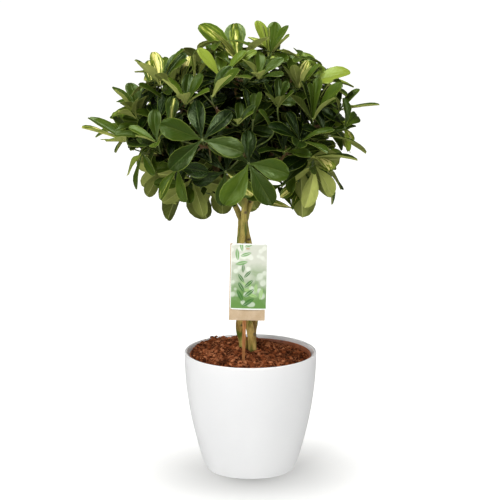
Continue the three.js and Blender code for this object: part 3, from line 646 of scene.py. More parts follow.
def soilSurface(x, y):
    # height of the bed at a place: a mound that leans, with clods on it and one hollow
    share = min(math.hypot(x, y) / soilReach, 1)
    lean = soil["lean"] * share * math.cos(math.atan2(y, x) - soil["leanTurn"] * degree)
    calm = 1 if share < 0.9 else (1 - share) / 0.1 * 0.75 + 0.25
    acrossHollow, alongHollow = ((value - middle) / reach for value, middle, reach in zip(
        (x, y), soil["hollowAt"], soil["hollowReach"]))
    hollow = soil["hollow"] * math.exp(-(acrossHollow**2) - alongHollow**2)
    mound = soil["edge"] + soil["mound"] * (1 - share * share)
    return mound + lean + soil["rough"] * clodsAt(x, y) * calm - hollow


def makeSoilBed():
    low = nursery["floor"] + nursery["wall"] + 0.3
    shoulderHeight = nursery["top"] - nursery["rimDepth"]
    rings = [(4, low), (nursery["foot"] - 4, low), (nursery["foot"] - 2.4, low + 3),
             (nursery["shoulder"] - nursery["wall"] - soil["spare"], shoulderHeight),
             (soilReach, shoulderHeight + 3.2)]
    rings += [(soilReach * share, soil["edge"]) for share in np.linspace(1, 0.02, soil["rings"])]
    piece = stackedRings(rings, soil["sides"])
    for corner in piece.data.vertices:
        if corner.co.z > (soil["edge"] - 0.5) * mm:
            corner.co.z = soilSurface(corner.co.x / mm, corner.co.y / mm) * mm
    shadeByAngle(piece, 60)
    setValues(piece, "tone", [soilTone(corner.co.x / mm, corner.co.y / mm) for corner in piece.data.vertices])
    settle(piece, "soilBed", pottingMix("soilMix", 0.8), "soil", "soil")


def clearOfTrunk(x, y):
    feet = [plaitPoint(stem, soil["trunkAt"])[:2] for stem in stems.values()] + [label["foot"][:2]]
    return all(math.hypot(x - foot[0], y - foot[1]) > reach for foot, reach in zip(feet, soil["clearRound"]))


def spotWithin(reach, rng):
    # a place on the bed and how far it is from the middle
    angle, far = rng.uniform(0, 2 * math.pi), reach * math.sqrt(rng.uniform(0, 1))
    return far * math.cos(angle), far * math.sin(angle), far


def chipKind(rng):
    # one rough chip of bark, about 1 across
    chip = added(bpy.ops.mesh.primitive_ico_sphere_add, subdivisions=1, radius=0.5)
    shape = np.array([1, rng.uniform(0.55, 0.95), rng.uniform(0.35, 0.65)])
    for corner in chip.data.vertices:
        corner.co = Vector(np.array(corner.co) * shape * rng.uniform(0.7, 1.25, 3))
    return takenApart(chip)


def makeChips():
    rng = np.random.default_rng(soil["draws"])
    kinds = [chipKind(rng) for kind in range(soil["chipKinds"])]
    corners, faces, tones, chips = [], [], [], 0
    while chips < soil["chips"]:
        x, y, far = spotWithin(soilReach, rng)
        wide = soil["chipLeast"] + soil["chipRange"] * rng.uniform(0, 1) ** 2.6
        if far > soilReach - 0.4 * wide or not clearOfTrunk(x, y):
            continue
        shape, sides = kinds[rng.integers(len(kinds))]
        turn = Matrix.Rotation(rng.uniform(0, 6.28), 3, "Z") @ Matrix.Rotation(rng.normal(0, 0.5), 3, "X")
        place = np.array([x, y, soilSurface(x, y) + wide * rng.uniform(-0.05, 0.3)])
        faces += [[corner + len(corners) for corner in side] for side in sides]
        corners += list((shape * wide @ np.array(turn).T + place) * mm)
        tones += [rng.uniform(0, 1) ** 1.5 + soilTone(x, y)] * len(shape)
        chips += 1
    piece = meshPiece(corners, faces)
    setValues(piece, "tone", tones)
    settle(piece, "soilChips", pottingMix("soilChipMix", 1), "soil")


def makeFibres():
    rng = np.random.default_rng(soil["draws"] + 1)
    paths = []
    while len(paths) < soil["fibres"]:
        x, y = spotWithin(soil["fibreReach"], rng)[:2]
        if not clearOfTrunk(x, y):
            continue
        heading, points = rng.uniform(0, 6.28), []
        for step in soil["fibreRadii"]:
            points.append((x, y, soilSurface(x, y) + rng.uniform(0.8, 3.2)))
            heading += rng.normal(0, 0.5)
            x, y = x + soil["fibreStep"] * math.cos(heading), y + soil["fibreStep"] * math.sin(heading)
        if math.hypot(x, y) < soil["fibreReach"] + 2:
            paths.append((points, soil["fibreRadii"]))
    piece = tubes(paths, 4)
    setValues(piece, "tone", np.full(len(piece.data.vertices), 0.75))
    shadeByAngle(piece, 60)
    settle(piece, "soilFibres", pottingMix("fibreMix", 1), "soil")


# trunk: three plaited stems, each going on as a leader with branches

trunk = {"xLow": -3, "xNeck": -12, "base": 185, "start": 214, "end": 385, "gather": 362, "neck": 424,
         "turns": 0.5, "endAngle": 90, "release": 34, "wideLow": 13.9, "wideHigh": 12.2, "deepLow": 16.4,
         "deepHigh": 13, "radiusLow": 7.6, "radiusNeck": 5.6, "radiusTop": 3.4, "branchRadius": 2.6,
         "step": 2.6, "sides": 20, "scars": 26, "scarSpacing": 21, "scarHigh": 2.2, "scarWide": 0.62,
         "scarRaise": 0.05, "knotHigh": 2.6, "knotSwell": 0.05, "lumps": ((90, 0.05), (260, 0.035)),
         "lumpSink": 0.02, "draws": 5}
stems = {
    "right": {"order": 0, "foot": (-9, 0), "neck": (3, 1.4),
              "leader": [(-2, 4, 454), (18, 8, 506), (62, 6, 588)]},
    "left": {"order": 1, "foot": (5.7, 8.5), "neck": (-3.2, 11.6),
             "leader": [(-25, 5, 452), (-50, 6, 500), (-92, 8, 572)]},
    "middle": {"order": 2, "foot": (5.7, -8.5), "neck": (1.6, -10.5),
               "leader": [(-11, -9, 462), (-4, -12, 526), (-16, -12, 622)]},
}


def plaitPoint(stem, height):
    share = ramp(trunk["start"], trunk["end"], height)
    turned = eased(trunk["start"], trunk["end"], height)
    opened = eased(trunk["start"], trunk["start"] + trunk["release"], height)
    drawn = eased(trunk["gather"], trunk["neck"], height)
    angle = (trunk["endAngle"] + stem["order"] * 120 - trunk["turns"] * 360 * (1 - turned)) * degree
    x = mixed(trunk["wideLow"], trunk["wideHigh"], share) * math.sin(angle)
    y = mixed(trunk["deepLow"], trunk["deepHigh"], share) * math.sin(2 * angle)
    across = mixed(mixed(stem["foot"][0], x, opened), stem["neck"][0], drawn)
    deep = mixed(mixed(stem["foot"][1], y, opened), stem["neck"][1], drawn)
    return np.array([mixed(trunk["xLow"], trunk["xNeck"], share) + across, deep, height])


def leaderPoints(stem, shares):
    bend, lean, top = (np.array(point, float) for point in stem["leader"])
    return bezier(plaitPoint(stem, trunk["neck"]), bend, lean, top, shares)


def scarAt(run, turn, scars):
    # 1 in the middle of a leaf scar, 0 away from it; turn is the way round the stem
    marks = [0]
    for place, facing in scars:
        aside = (turn - facing + math.pi) % (2 * math.pi) - math.pi
        marks.append(math.exp(-((run - place) / trunk["scarHigh"]) ** 2 - (aside / trunk["scarWide"]) ** 2))
    return max(marks)


def makeStem(name, skin):
    stem = stems[name]
    rng = np.random.default_rng(trunk["draws"] + stem["order"])
    heights = np.arange(trunk["base"], trunk["neck"], trunk["step"])
    plaited = np.clip((heights - trunk["start"]) / (trunk["neck"] - trunk["start"]), 0, 1)
    shares = np.linspace(0, 1, 60)
    points = np.array([plaitPoint(stem, height) for height in heights] + list(leaderPoints(stem, shares)))
    radii = np.concatenate([mixed(trunk["radiusLow"], trunk["radiusNeck"], plaited),
                            mixed(trunk["radiusNeck"], trunk["radiusTop"], shares)])
    run = np.concatenate([[0], np.cumsum(np.linalg.norm(np.diff(points, axis=0), axis=1))])
    places = np.cumsum(rng.uniform(0.7, 1.3, trunk["scars"])) * trunk["scarSpacing"]
    knots = sum(np.exp(-((run - place) / trunk["knotHigh"]) ** 2) for place in places)
    body = tubes([(points, radii * (1 - trunk["knotSwell"] + trunk["knotSwell"] * knots))], trunk["sides"])
    middles = nearestAmong([Vector(point) * mm for point in points])
    scars = list(zip(places, rng.uniform(0, 2 * math.pi, trunk["scars"])))
    values = []
    for corner in body.data.vertices:
        middle, i = middles.find(corner.co)[:2]
        out = corner.co - middle
        lump = sum(noise.noise(corner.co * scale) * depth for scale, depth in trunk["lumps"])
        values.append(scarAt(run[i], math.atan2(out.y, out.x), scars))
        corner.co += out * (lump - trunk["lumpSink"] + trunk["scarRaise"] * values[-1])
    setValues(body, "scar", values)
    branches = [branchPath(shoot) for shoot in shoots if shoot["stem"] == name]
    twigs = tubes([(path, trunk["branchRadius"] * np.linspace(1.12, 0.98, len(path)))
                   for path in branches], 10)
    setValues(twigs, "scar", np.zeros(len(twigs.data.vertices)))
    piece = joined([body, twigs])
    shadeByAngle(piece, 50)
    settle(piece, "stem" + name.capitalize(), skin, "bark", "stem_" + name)


# crown: shoots of umbrella leaves

# Each shoot: its stem, how far up the leader its branch leaves, where the branch ends, and its umbrellas.
# An umbrella: middle, turn and climb of the way it faces, leaflet length, how many, rise, droop and twist.
shoots = [
    {"stem": "left", "from": 0.9, "end": (-128, -8, 528), "umbrellas": (
        (-202, -16, 562, -10, 80, 82, 7, 20, 8, 1),
        (-176, -50, 548, -60, 18, 62, 6, 4, 24, 40),
        (-150, -86, 574, -30, 60, 58, 6, 36, 26, 0))},
    {"stem": "left", "from": 0.95, "end": (-118, 6, 582), "umbrellas": (
        (-184, 0, 603, -30, 80, 58, 7, 56, 14, 20),
        (-160, 24, 636, -30, 76, 58, 6, 58, 14, 0),
        (-150, -64, 602, -30, 70, 54, 7, 52, 18, 30))},
    {"stem": "left", "from": 1, "end": (-98, -26, 606), "umbrellas": (
        (-146, -20, 656, 0, 82, 64, 6, 54, 12, -15),
        (-104, -70, 634, -5, 78, 58, 6, 54, 16, 30),
        (-116, -16, 650, 0, 84, 56, 7, 58, 12, 10))},
    {"stem": "left", "from": 0.6, "end": (-62, -58, 560), "umbrellas": (
        (-77, -118, 584, -8, 24, 72, 6, 12, 28, 44),
        (-130, -100, 598, -10, 78, 54, 6, 60, 12, 25),
        (-118, -70, 528, -40, 20, 60, 6, 10, 30, 5))},
    {"stem": "middle", "from": 0.72, "end": (-52, -48, 608), "umbrellas": (
        (-62, -96, 651, 0, 80, 64, 7, 56, 16, 0),
        (-90, -30, 668, -20, 82, 50, 6, 56, 14, 10),
        (-20, -112, 610, 5, 70, 44, 6, 55, 10, 20))},
    {"stem": "middle", "from": 1, "end": (-24, -20, 648), "umbrellas": (
        (-20, -8, 692, 0, 86, 80, 6, 52, 10, -20),
        (-46, -68, 674, 5, 76, 58, 6, 52, 20, 25),
        (14, -62, 674, 20, 72, 52, 6, 46, 30, 10))},
    {"stem": "right", "from": 1, "end": (50, -4, 640), "umbrellas": (
        (31, 2, 698, 0, 84, 62, 7, 62, 14, 12),
        (78, -40, 655, 10, 82, 54, 6, 60, 12, 0),
        (94, 0, 642, 20, 80, 72, 6, 46, 50, -5))},
    {"stem": "right", "from": 0.9, "end": (86, -14, 578), "umbrellas": (
        (101, -58, 607, 5, 80, 70, 7, 58, 16, 0),
        (146, 18, 608, 0, 84, 66, 7, 16, 4, 0),
        (122, -44, 576, 60, 60, 54, 6, 40, 24, 30))},
    {"stem": "right", "from": 0.55, "end": (52, -34, 536), "umbrellas": (
        (80, -88, 576, 30, 66, 66, 7, 34, 34, 25),
        (98, -48, 542, 50, 80, 72, 6, 20, 30, 5),
        (54, -92, 560, 10, 70, 56, 6, 44, 24, 20),
        (44, -92, 634, 15, 66, 48, 6, 60, 10, 20))},
    {"stem": "right", "from": 0.42, "end": (52, 12, 508), "umbrellas": (
        (82, -20, 524, 160, -8, 82, 7, 4, 18, 10),
        (104, -48, 528, 140, 10, 66, 6, -6, 24, 35))},
    {"stem": "middle", "from": 0.45, "end": (-4, -48, 548), "umbrellas": (
        (-3, -110, 544, 5, 15, 76, 7, 10, 24, -12),
        (38, -112, 598, 15, 65, 46, 6, 52, 14, 15),
        (4, -96, 612, 0, 74, 48, 7, 62, 8, 30),
        (-40, -60, 520, -10, 10, 58, 6, -6, 30, 20))},
    {"stem": "left", "from": 0.45, "end": (-84, 42, 504), "umbrellas": (
        (-100, 84, 487, -150, 10, 86, 7, -8, 34, 0),
        (-140, 14, 508, -150, 0, 64, 6, 0, 26, 20),
        (-96, -20, 500, 170, 0, 60, 6, 0, 26, 10))},
    {"stem": "middle", "from": 0.3, "end": (-22, 48, 496), "umbrellas": (
        (-48, 96, 485, 180, 10, 84, 7, -8, 34, 10),
        (16, 84, 532, 160, 40, 64, 6, 10, 40, 0))},
    {"stem": "middle", "from": 0.8, "end": (6, 14, 596), "umbrellas": (
        (26, -28, 630, 20, 70, 58, 6, 34, 30, 0),
        (-10, -52, 588, 0, 55, 56, 6, 26, 34, 30),
        (34, 60, 610, 150, 60, 60, 6, 26, 34, 0))},
    # the back, out of sight from the front
    {"stem": "left", "from": 0.8, "end": (-100, 64, 560), "fill": 3},
    {"stem": "left", "from": 1, "end": (-92, 44, 590), "fill": 2},
    {"stem": "middle", "from": 0.85, "end": (-30, 66, 600), "fill": 2},
    {"stem": "middle", "from": 0.55, "end": (-8, 88, 564), "fill": 3},
    {"stem": "right", "from": 0.95, "end": (52, 56, 592), "fill": 2},
    {"stem": "right", "from": 0.75, "end": (44, 84, 548), "fill": 3},
]
crown = {"middle": (-28, 0, 560), "fillTurn": 137.5, "fillSpread": 46, "fillReach": 78, "fillLength": 60,
         "fillCount": 6, "fillRise": 26, "fillDroop": 32, "fillLift": 0.7, "twigLength": 24,
         "twigRadius": 2.4, "stalkFirst": 0.45, "stalkRange": 0.5, "stalkRadius": 1.35, "hubRadius": 2.4,
         # where the leaflets get painted light and shade: lighter away from its heart, darker low at the left
         # and in the middle of its front
         "heart": (-28, 0, 590), "half": (240, 260, 165), "toneReach": (0.45, 0.95),
         "lowTones": (0.35, 0.9), "lowAcross": (-80, 60), "lowHeights": (420, 560),
         "darkMiddle": 0.35, "middleReach": (0.1, 0.62),
         # how much the place (painted light and shade), the umbrella and chance (random tone) each do to a
         # leaflet's tone
         "placeLightAndShade": 0.76, "umbrellaTone": 0.45, "chanceTone": 0.17}
leaflet = {"rows": (0, 0.13, 0.29, 0.45, 0.61, 0.75, 0.87, 0.955), "across": 4, "half": 0.24, "fold": 17,
           "width": 0.42, "usual": 62, "spare": 2, "cadHalf": 0.4, "stalkHalf": 1.0, "arch": 0.11,
           "wave": 0.8, "widen": 1.08, "roll": 13, "sweep": 0.06, "draws": 12,
           # bend and shrink, in the order in which the solids try them
           "tries": ((0, 1), (9, 1), (-9, 1), (18, 0.94), (-18, 0.94), (27, 0.88), (-27, 0.88), (36, 0.8),
                     (-36, 0.8), (10, 0.72), (-10, 0.72), (24, 0.66)),
           # the share of variegated leaflets, and that of some umbrellas, by shoot and place in it
           "goldShare": 0.25, "goldHeads": {(5, 0): 1, (0, 0): 0.8, (3, 1): 0.7, (8, 1): 0.6}}


def readUmbrella(row):
    x, y, z, turn, climb, length, count, rise, droop, twist = row
    turn, climb = turn * degree, climb * degree
    flat = math.cos(climb)
    across = np.array([math.cos(turn), math.sin(turn), 0])
    facing = np.array([flat * math.sin(turn), -flat * math.cos(turn), math.sin(climb)])
    return {"middle": np.array([x, y, z], float), "facing": facing, "across": across,
            "up": np.cross(facing, across), "length": length, "count": count, "rise": rise, "droop": droop,
            "twist": twist}


def turnAndClimb(facing):
    return math.atan2(facing[0], -facing[1]) / degree, math.asin(facing[2]) / degree


def fillUmbrellas(shoot, number):
    # the umbrellas of a shoot at the back, set round the shoot's own line
    draws = drawsFrom(number)
    line = unit(shoot["end"] - crown["middle"])
    side = unit(np.cross(line, (0, 0, 1)))
    other = np.cross(side, line)
    rows = []
    for k in range(shoot["fill"]):
        turn = (k * crown["fillTurn"] + 60 * next(draws)) * degree
        spread = (crown["fillSpread"] + 12 * next(draws)) * degree
        around = side * math.cos(turn) + other * math.sin(turn)
        way = line * math.cos(spread) + around * math.sin(spread)
        middle = shoot["end"] + way * (crown["fillReach"] + 16 * next(draws))
        facing = unit(way + np.array([0, 0, crown["fillLift"]]))
        length = crown["fillLength"] + 18 * next(draws)
        count = crown["fillCount"] + int(next(draws) + 0.5)
        rise = crown["fillRise"] + 10 * next(draws)
        rows.append([*middle, *turnAndClimb(facing), length, count, rise, crown["fillDroop"],
                     50 * next(draws)])
    return rows


def branchPath(shoot):
    stem, end = stems[shoot["stem"]], shoot["end"]
    before, start = leaderPoints(stem, [shoot["from"] - 0.05, shoot["from"]])
    far = np.linalg.norm(end - start)
    bend = start + unit(start - before) * far * 0.3
    return bezier(start, bend, end - shoot["line"] * far * 0.4, end, np.linspace(0, 1, 16))


def stalkPath(shoot, umbrella, share):
    start = shoot["end"] + shoot["line"] * (0.3 + crown["twigLength"] * share)
    far = np.linalg.norm(umbrella["middle"] - start)
    toward = unit(umbrella["middle"] - start)
    bend = start + unit(toward + shoot["line"] * 0.6) * far * 0.35
    late = umbrella["middle"] - umbrella["facing"] * far * 0.3
    return bezier(start, bend, late, umbrella["middle"], np.linspace(0, 1, 14))


def setOutShoots():
    for i, shoot in enumerate(shoots):
        shoot["end"] = np.array(shoot["end"], float)
        rows = shoot.get("umbrellas") or fillUmbrellas(shoot, 10 * i + 9)
        shoot["heads"] = [readUmbrella(row) for row in rows]
        shoot["line"] = unit(np.mean([head["middle"] for head in shoot["heads"]], axis=0) - shoot["end"])
        shoot["extras"] = []
        shoot["stalks"] = [stalkPath(shoot, head, crown["stalkFirst"] + crown["stalkRange"] * k / len(rows))
                           for k, head in enumerate(shoot["heads"])]


def leafletOutline(share):
    body = np.sin(np.pi * np.clip(share, 0, 1) ** 1.6)
    return np.maximum(body, 0) ** np.where(share < 0.7, 0.8, 0.5)


def leafPlace(umbrella, leaf, share, side, lift):
    # the same bowed and folded sheet as the solid leaflet, for arrays of places on it
    share, side, lift = (np.asarray(value, float) for value in (share, side, lift))
    bow, start = max(leaf["droop"], 1) * degree, leaf["rise"] * degree
    slope = start - bow * share
    run = crown["hubRadius"] * math.cos(math.pi / umbrella["count"])
    out = run + leaf["length"] * (math.sin(start) - np.sin(slope)) / bow
    high = leaf["length"] * (np.cos(slope) - math.cos(start)) / bow
    fold, widen = leaflet["fold"] * degree, leaf.get("widen", 1)
    sector = math.tan((180 / umbrella["count"] - leaflet["spare"]) * degree)
    most = out * sector / (math.cos(fold) + np.maximum(np.sin(slope), 0) * math.sin(fold) * sector)
    half = np.minimum(leaf["width"] * 0.5 * leafletOutline(share), most * widen) * widen
    half = np.maximum(half, leaf.get("stalkHalf", 0)) * side
    flat, raised = half * math.cos(fold), np.abs(half) * math.sin(fold) + lift
    roll = leaf.get("roll", 0) * degree * np.clip(share * 3 - 0.3, 0, 1)
    aside, raised = flat * np.cos(roll) - raised * np.sin(roll), flat * np.sin(roll) + raised * np.cos(roll)
    radial = out - raised * np.sin(slope)
    height = high + raised * np.cos(slope)
    return (umbrella["middle"] + np.outer(radial, leaf["outward"]) + np.outer(height, umbrella["facing"])
            + np.outer(aside, leaf["sideways"]))


def drawLeaflets(umbrella, draws):
    leaves = []
    broad = leaflet["width"] * math.sqrt(umbrella["length"] / leaflet["usual"])
    for k in range(umbrella["count"]):
        angle = (umbrella["twist"] + 360 * k / umbrella["count"]) * degree
        outward = umbrella["across"] * math.cos(angle) + umbrella["up"] * math.sin(angle)
        length = umbrella["length"] * (0.86 + 0.22 * next(draws))
        width = length * broad * (0.84 + 0.3 * next(draws))
        rise = umbrella["rise"] + 16 * (next(draws) - 0.5)
        droop = umbrella["droop"] + 16 * (next(draws) - 0.5)
        leaves.append({"outward": outward, "sideways": np.cross(umbrella["facing"], outward),
                       "length": length, "width": width, "rise": rise, "droop": droop})
    return leaves


def bentLeaflets(umbrella, draws, corners):
    # each leaflet as far bent as its solid is, found by a corner of its tip among the node's corners
    kept = []
    for leaf in drawLeaflets(umbrella, draws):
        for bend, shrink in leaflet["tries"]:
            tried = dict(leaf, rise=leaf["rise"] + bend, length=leaf["length"] * shrink,
                         width=leaf["width"] * shrink)
            corner = leafPlace(umbrella, tried, [0.97], [-1], [leaflet["cadHalf"]])[0]
            if corners.find(Vector(corner) * mm)[2] < 0.0002:
                kept.append(tried)
                break
    return kept


def leafletPattern():
    # one flat leaflet: a grid with a rounded tip, given thickness; X is the share along it, Y the side
    rows = leaflet["rows"]
    pattern = added(bpy.ops.mesh.primitive_grid_add, x_subdivisions=len(rows) - 1,
                    y_subdivisions=leaflet["across"], size=2)
    for corner in pattern.data.vertices:
        row = rows[round((corner.co.x + 1) / 2 * (len(rows) - 1))]
        corner.co.x = row + (1 - row) * max(row - 0.6, 0) / 0.355 * (1 - abs(corner.co.y) ** 1.6)
    thick = pattern.modifiers.new("thickness", "SOLIDIFY")
    thick.thickness, thick.offset = 2, 0
    applyAll(pattern)
    return takenApart(pattern)


def shapeBlade(umbrella, leaf, roll, rng, pattern):
    # a fine leaflet on its bowed sheet, rolled a little so that neighbours lie over each other
    share, side, face = pattern.T
    leaf.update(widen=leaflet["widen"], stalkHalf=leaflet["stalkHalf"], roll=roll + rng.normal(0, 2.5))
    wave, phase = leaflet["wave"] * rng.uniform(0.4, 1.2), rng.uniform(0, 6.28)
    half = np.where(share < 0.1, leaflet["half"] * 2.6, leaflet["half"])
    arch = leaflet["arch"] * leaf["width"] * 0.5 * np.sin(np.pi * np.abs(side)) * np.clip(share * 2, 0, 1)
    ruffle = wave * np.sin(share * 9 + phase + side) * np.abs(side) ** 2 * np.clip(share * 3 - 0.4, 0, 1)
    rib = np.where((face < 0) & (side == 0), -0.5 * (1 - share), 0)
    swept = leaf["length"] * rng.normal(0, leaflet["sweep"]) * np.clip(share, 0, 1) ** 2
    flat = leafPlace(umbrella, leaf, share, side, half * face + arch + ruffle + rib)
    return flat + np.outer(swept, leaf["sideways"])


def keptInside(blade, root):
    # a blade drawn back toward its root as far as it would leave the solids' box
    low, high = (np.array(corner) / mm for corner in cadBounds)
    reach = blade - root
    room = np.where(reach > 0, high - root, root - low) / np.maximum(np.abs(reach), 1e-6)
    return root + reach * min(1, room.min() - 0.002)


def addBlade(shoot, umbrella, leaf, roll, tone, rng, pattern, goldShare=leaflet["goldShare"]):
    # painted light and shade: outer leaflets are lighter and inner ones darker, by their place, and most of
    # the variegated ones are among the outer ones
    blade = keptInside(shapeBlade(umbrella, leaf, roll, rng, pattern), umbrella["middle"])
    tip = blade[np.argmax(pattern[:, 0])]
    aside = (tip - crown["heart"]) / crown["half"]
    outward = eased(*crown["toneReach"], np.linalg.norm(aside))
    low = mixed(*crown["lowTones"], ramp(*crown["lowAcross"], tip[0]))
    outward *= mixed(low, 1, ramp(*crown["lowHeights"], tip[2]))
    outward *= mixed(crown["darkMiddle"], 1, eased(*crown["middleReach"], math.hypot(aside[0], aside[2])))
    golden = rng.uniform(0, 1) < goldShare * outward
    gold = rng.uniform(0.35, 1) if golden else 0
    lightness = (crown["placeLightAndShade"] * outward + crown["umbrellaTone"] * (tone - 0.5)
                 + rng.normal(0, crown["chanceTone"]))
    shoot["blades"].append((blade, float(np.clip(lightness, 0, 1)), gold))


def growBlades(number, shoot, pattern, rng):
    # the leaflets that the solids have, each in its own place
    corners = nearestAmong([corner.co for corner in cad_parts[f"shoot_{number + 1:02d}"].data.vertices])
    shoot["blades"] = []
    for k, umbrella in enumerate(shoot["heads"]):
        tone, roll = rng.uniform(0, 1), leaflet["roll"] * rng.choice((-1, 1))
        goldShare = leaflet["goldHeads"].get((number, k), leaflet["goldShare"])
        for leaf in bentLeaflets(umbrella, drawsFrom(10 * number + k), corners):
            addBlade(shoot, umbrella, leaf, roll, tone, rng, pattern, goldShare)


# smaller umbrellas further in, where they clear what is there, which hide the branches

inner = {"tries": 48, "inside": 0.84, "front": -62, "outward": 0.9, "reach": (22, 82), "length": (44, 64),
         "rise": (5, 50), "droop": (20, 40), "bends": (0, 14, -14, 28, -28), "clear": 3.5, "fewest": 2,
         "probes": np.array([(share, side, 0) for share in (0.3, 0.45, 0.6, 0.75, 0.9, 1)
                             for side in (-1, -0.5, 0, 0.5, 1)]).T}


def innerUmbrella(shoot, rng):
    way = unit(shoot["line"] * inner["outward"] + rng.normal(0, 0.6, 3))
    middle = shoot["end"] + way * rng.uniform(*inner["reach"])
    facing = unit(way * 0.7 + np.array([0, -0.15, 0.8]) + rng.normal(0, 0.2, 3))
    return readUmbrella([*middle, *turnAndClimb(facing), rng.uniform(*inner["length"]),
                         int(rng.integers(6, 8)), rng.uniform(*inner["rise"]), rng.uniform(*inner["droop"]),
                         rng.uniform(0, 60)])


def clearLeaflets(umbrella, rng, places):
    # those of an umbrella's leaflets that clear what is there, bent where that helps
    found = []
    for leaf in drawLeaflets(umbrella, iter(rng.uniform(0, 1, 40))):
        for bend in inner["bends"]:
            tried = dict(leaf, rise=leaf["rise"] + bend)
            points = leafPlace(umbrella, dict(tried, widen=leaflet["widen"]), *inner["probes"])
            far = np.linalg.norm((points[-3] - crown["heart"]) / crown["half"])
            if far > inner["inside"] or points[:, 1].min() < inner["front"]:
                continue
            if all(places.find(point)[2] > inner["clear"] for point in points):
                found.append(tried)
                break
    return found


def fillCrown(pattern, rng):
    taken = [blade for shoot in shoots for blade, tone, gold in shoot["blades"]]
    for tries in range(inner["tries"]):
        places = nearestAmong(np.concatenate(taken))
        for shoot in shoots:
            umbrella = innerUmbrella(shoot, rng)
            found = clearLeaflets(umbrella, rng, places)
            if len(found) < inner["fewest"]:
                continue
            # painted shade: the inner umbrellas get only the darker tones
            tone, roll = rng.uniform(0, 0.6), leaflet["roll"] * rng.choice((-1, 1))
            first = len(shoot["blades"])
            for leaf in found:
                addBlade(shoot, umbrella, leaf, roll, tone, rng, pattern)
            taken += [blade for blade, tone, gold in shoot["blades"][first:]]
            shoot["extras"].append(umbrella)
            shoot["stalks"].append(stalkPath(shoot, umbrella, rng.uniform(0.1, 0.9)))


def makeLeaflets(number, shoot, pattern, sides, skin):
    share, side, face = pattern.T
    blades, tones, golds = zip(*shoot["blades"])
    count, corners = len(blades), len(share)
    faces = [[corner + k * corners for corner in around] for k in range(count) for around in sides]
    piece = meshPiece(np.concatenate(blades) * mm, faces)
    setValues(piece, "leafToneAndPaintedLight", np.repeat(tones, corners))
    setValues(piece, "leafGold", np.repeat(golds, corners))
    setValues(piece, "leafFace", np.tile(face, count))
    layer = piece.data.uv_layers.new(name="leafPlace")
    corner = np.zeros(len(piece.data.loops), np.int32)
    piece.data.loops.foreach_get("vertex_index", corner)
    flat = np.stack([np.tile(share, count), np.tile(side, count) / 2 + 0.5], 1)
    layer.uv.foreach_set("vector", flat[corner].ravel().astype(np.float32))
    shadeByAngle(piece, 28)
    settle(piece, f"leaflets{number + 1:02d}", skin, "foliage", f"shoot_{number + 1:02d}")


def makeHub(umbrella):
    hub = added(bpy.ops.mesh.primitive_uv_sphere_add, segments=10, ring_count=6,
                radius=crown["hubRadius"] * 1.05 * mm)
    axes = np.stack([umbrella["across"], umbrella["up"], umbrella["facing"] * 0.5], 1)
    for corner in hub.data.vertices:
        corner.co = Vector(axes @ np.array(corner.co) + umbrella["middle"] * mm)
    return hub


def makeStalks(number, shoot, skin):
    shares = np.linspace(0.3 / crown["twigLength"], 1, 9)
    twig = [shoot["end"] + shoot["line"] * crown["twigLength"] * share for share in shares]
    knobs = 1 + 0.12 * np.cos(shares * 19) - 0.3 * shares**4
    swell = np.linspace(0, 1, 14)
    radii = crown["stalkRadius"] * (0.82 + 0.45 * np.exp(-swell * 9) + 0.25 * np.exp((swell - 1) * 12))
    stalks = tubes([(twig, crown["twigRadius"] * knobs)] + [(stalk, radii) for stalk in shoot["stalks"]], 8)
    fromTwig = np.array([min(np.linalg.norm(np.array(corner.co) / mm - spot) for spot in twig)
                         for corner in stalks.data.vertices])
    setValues(stalks, "tone", np.clip(1 - fromTwig / 30, 0, 1))
    piece = joined([stalks] + [makeHub(umbrella) for umbrella in shoot["heads"] + shoot["extras"]])
    shadeByAngle(piece, 50)
    settle(piece, f"leafStalks{number + 1:02d}", skin, "foliage", f"shoot_{number + 1:02d}")


# plant label: a stick, a board and a card on it

label = {"foot": (-11.5, -55, 200), "buried": 60, "above": 180, "stickWide": 7.6, "stickTip": 4.2,
         "stickThick": 1.6, "lean": 4.4, "roll": 1.2,
         "board": (59, 1.2, 128), "boardLow": 68, "boardShift": 4,
         "card": (60, 0.8, 110), "cardLift": 18.5, "cardShift": 6, "cardBow": 3, "cardBends": 19,
         "cardCorner": 4.5,
         "tab": (6, 5.2, 2.4), "tabShift": 3.4, "tabDown": 9, "gap": 0.3}


def settleLabel(piece, name, material, slotName, node):
    # turns a piece made upright at the stick's foot to the label's lean, and puts it there
    lean = Matrix.Translation(Vector(label["foot"]) * mm) @ Matrix.Rotation(label["roll"] * degree, 4, "Y")
    piece.data.transform(lean @ Matrix.Rotation(-label["lean"] * degree, 4, "X"))
    shadeByAngle(piece, 40)
    settle(piece, name, material, slotName, node)


def block(size, place):
    # a box by its size and the middle of its base's front edge
    x, y, z = place
    piece = added(bpy.ops.mesh.primitive_cube_add, size=1, scale=[value * mm for value in size],
                  location=(x * mm, (y + size[1] / 2) * mm, (z + size[2] / 2) * mm))
    bpy.ops.object.transform_apply(location=True, rotation=True, scale=True)
    return piece


def rounded(piece, width, segments=2):
    bevel = piece.modifiers.new("edges", "BEVEL")
    bevel.width, bevel.segments, bevel.limit_method = width * mm, segments, "ANGLE"
    applyAll(piece)


def makeStick():
    high = label["buried"] + label["above"]
    stick = block((label["stickWide"], label["stickThick"], high), (0, 0, -label["buried"]))
    for corner in stick.data.vertices:
        if corner.co.z < 0:
            corner.co.x *= label["stickTip"] / label["stickWide"]
    rounded(stick, 0.5)
    settleLabel(stick, "labelStick", stickWood(), "stick_wood", "label_stick")


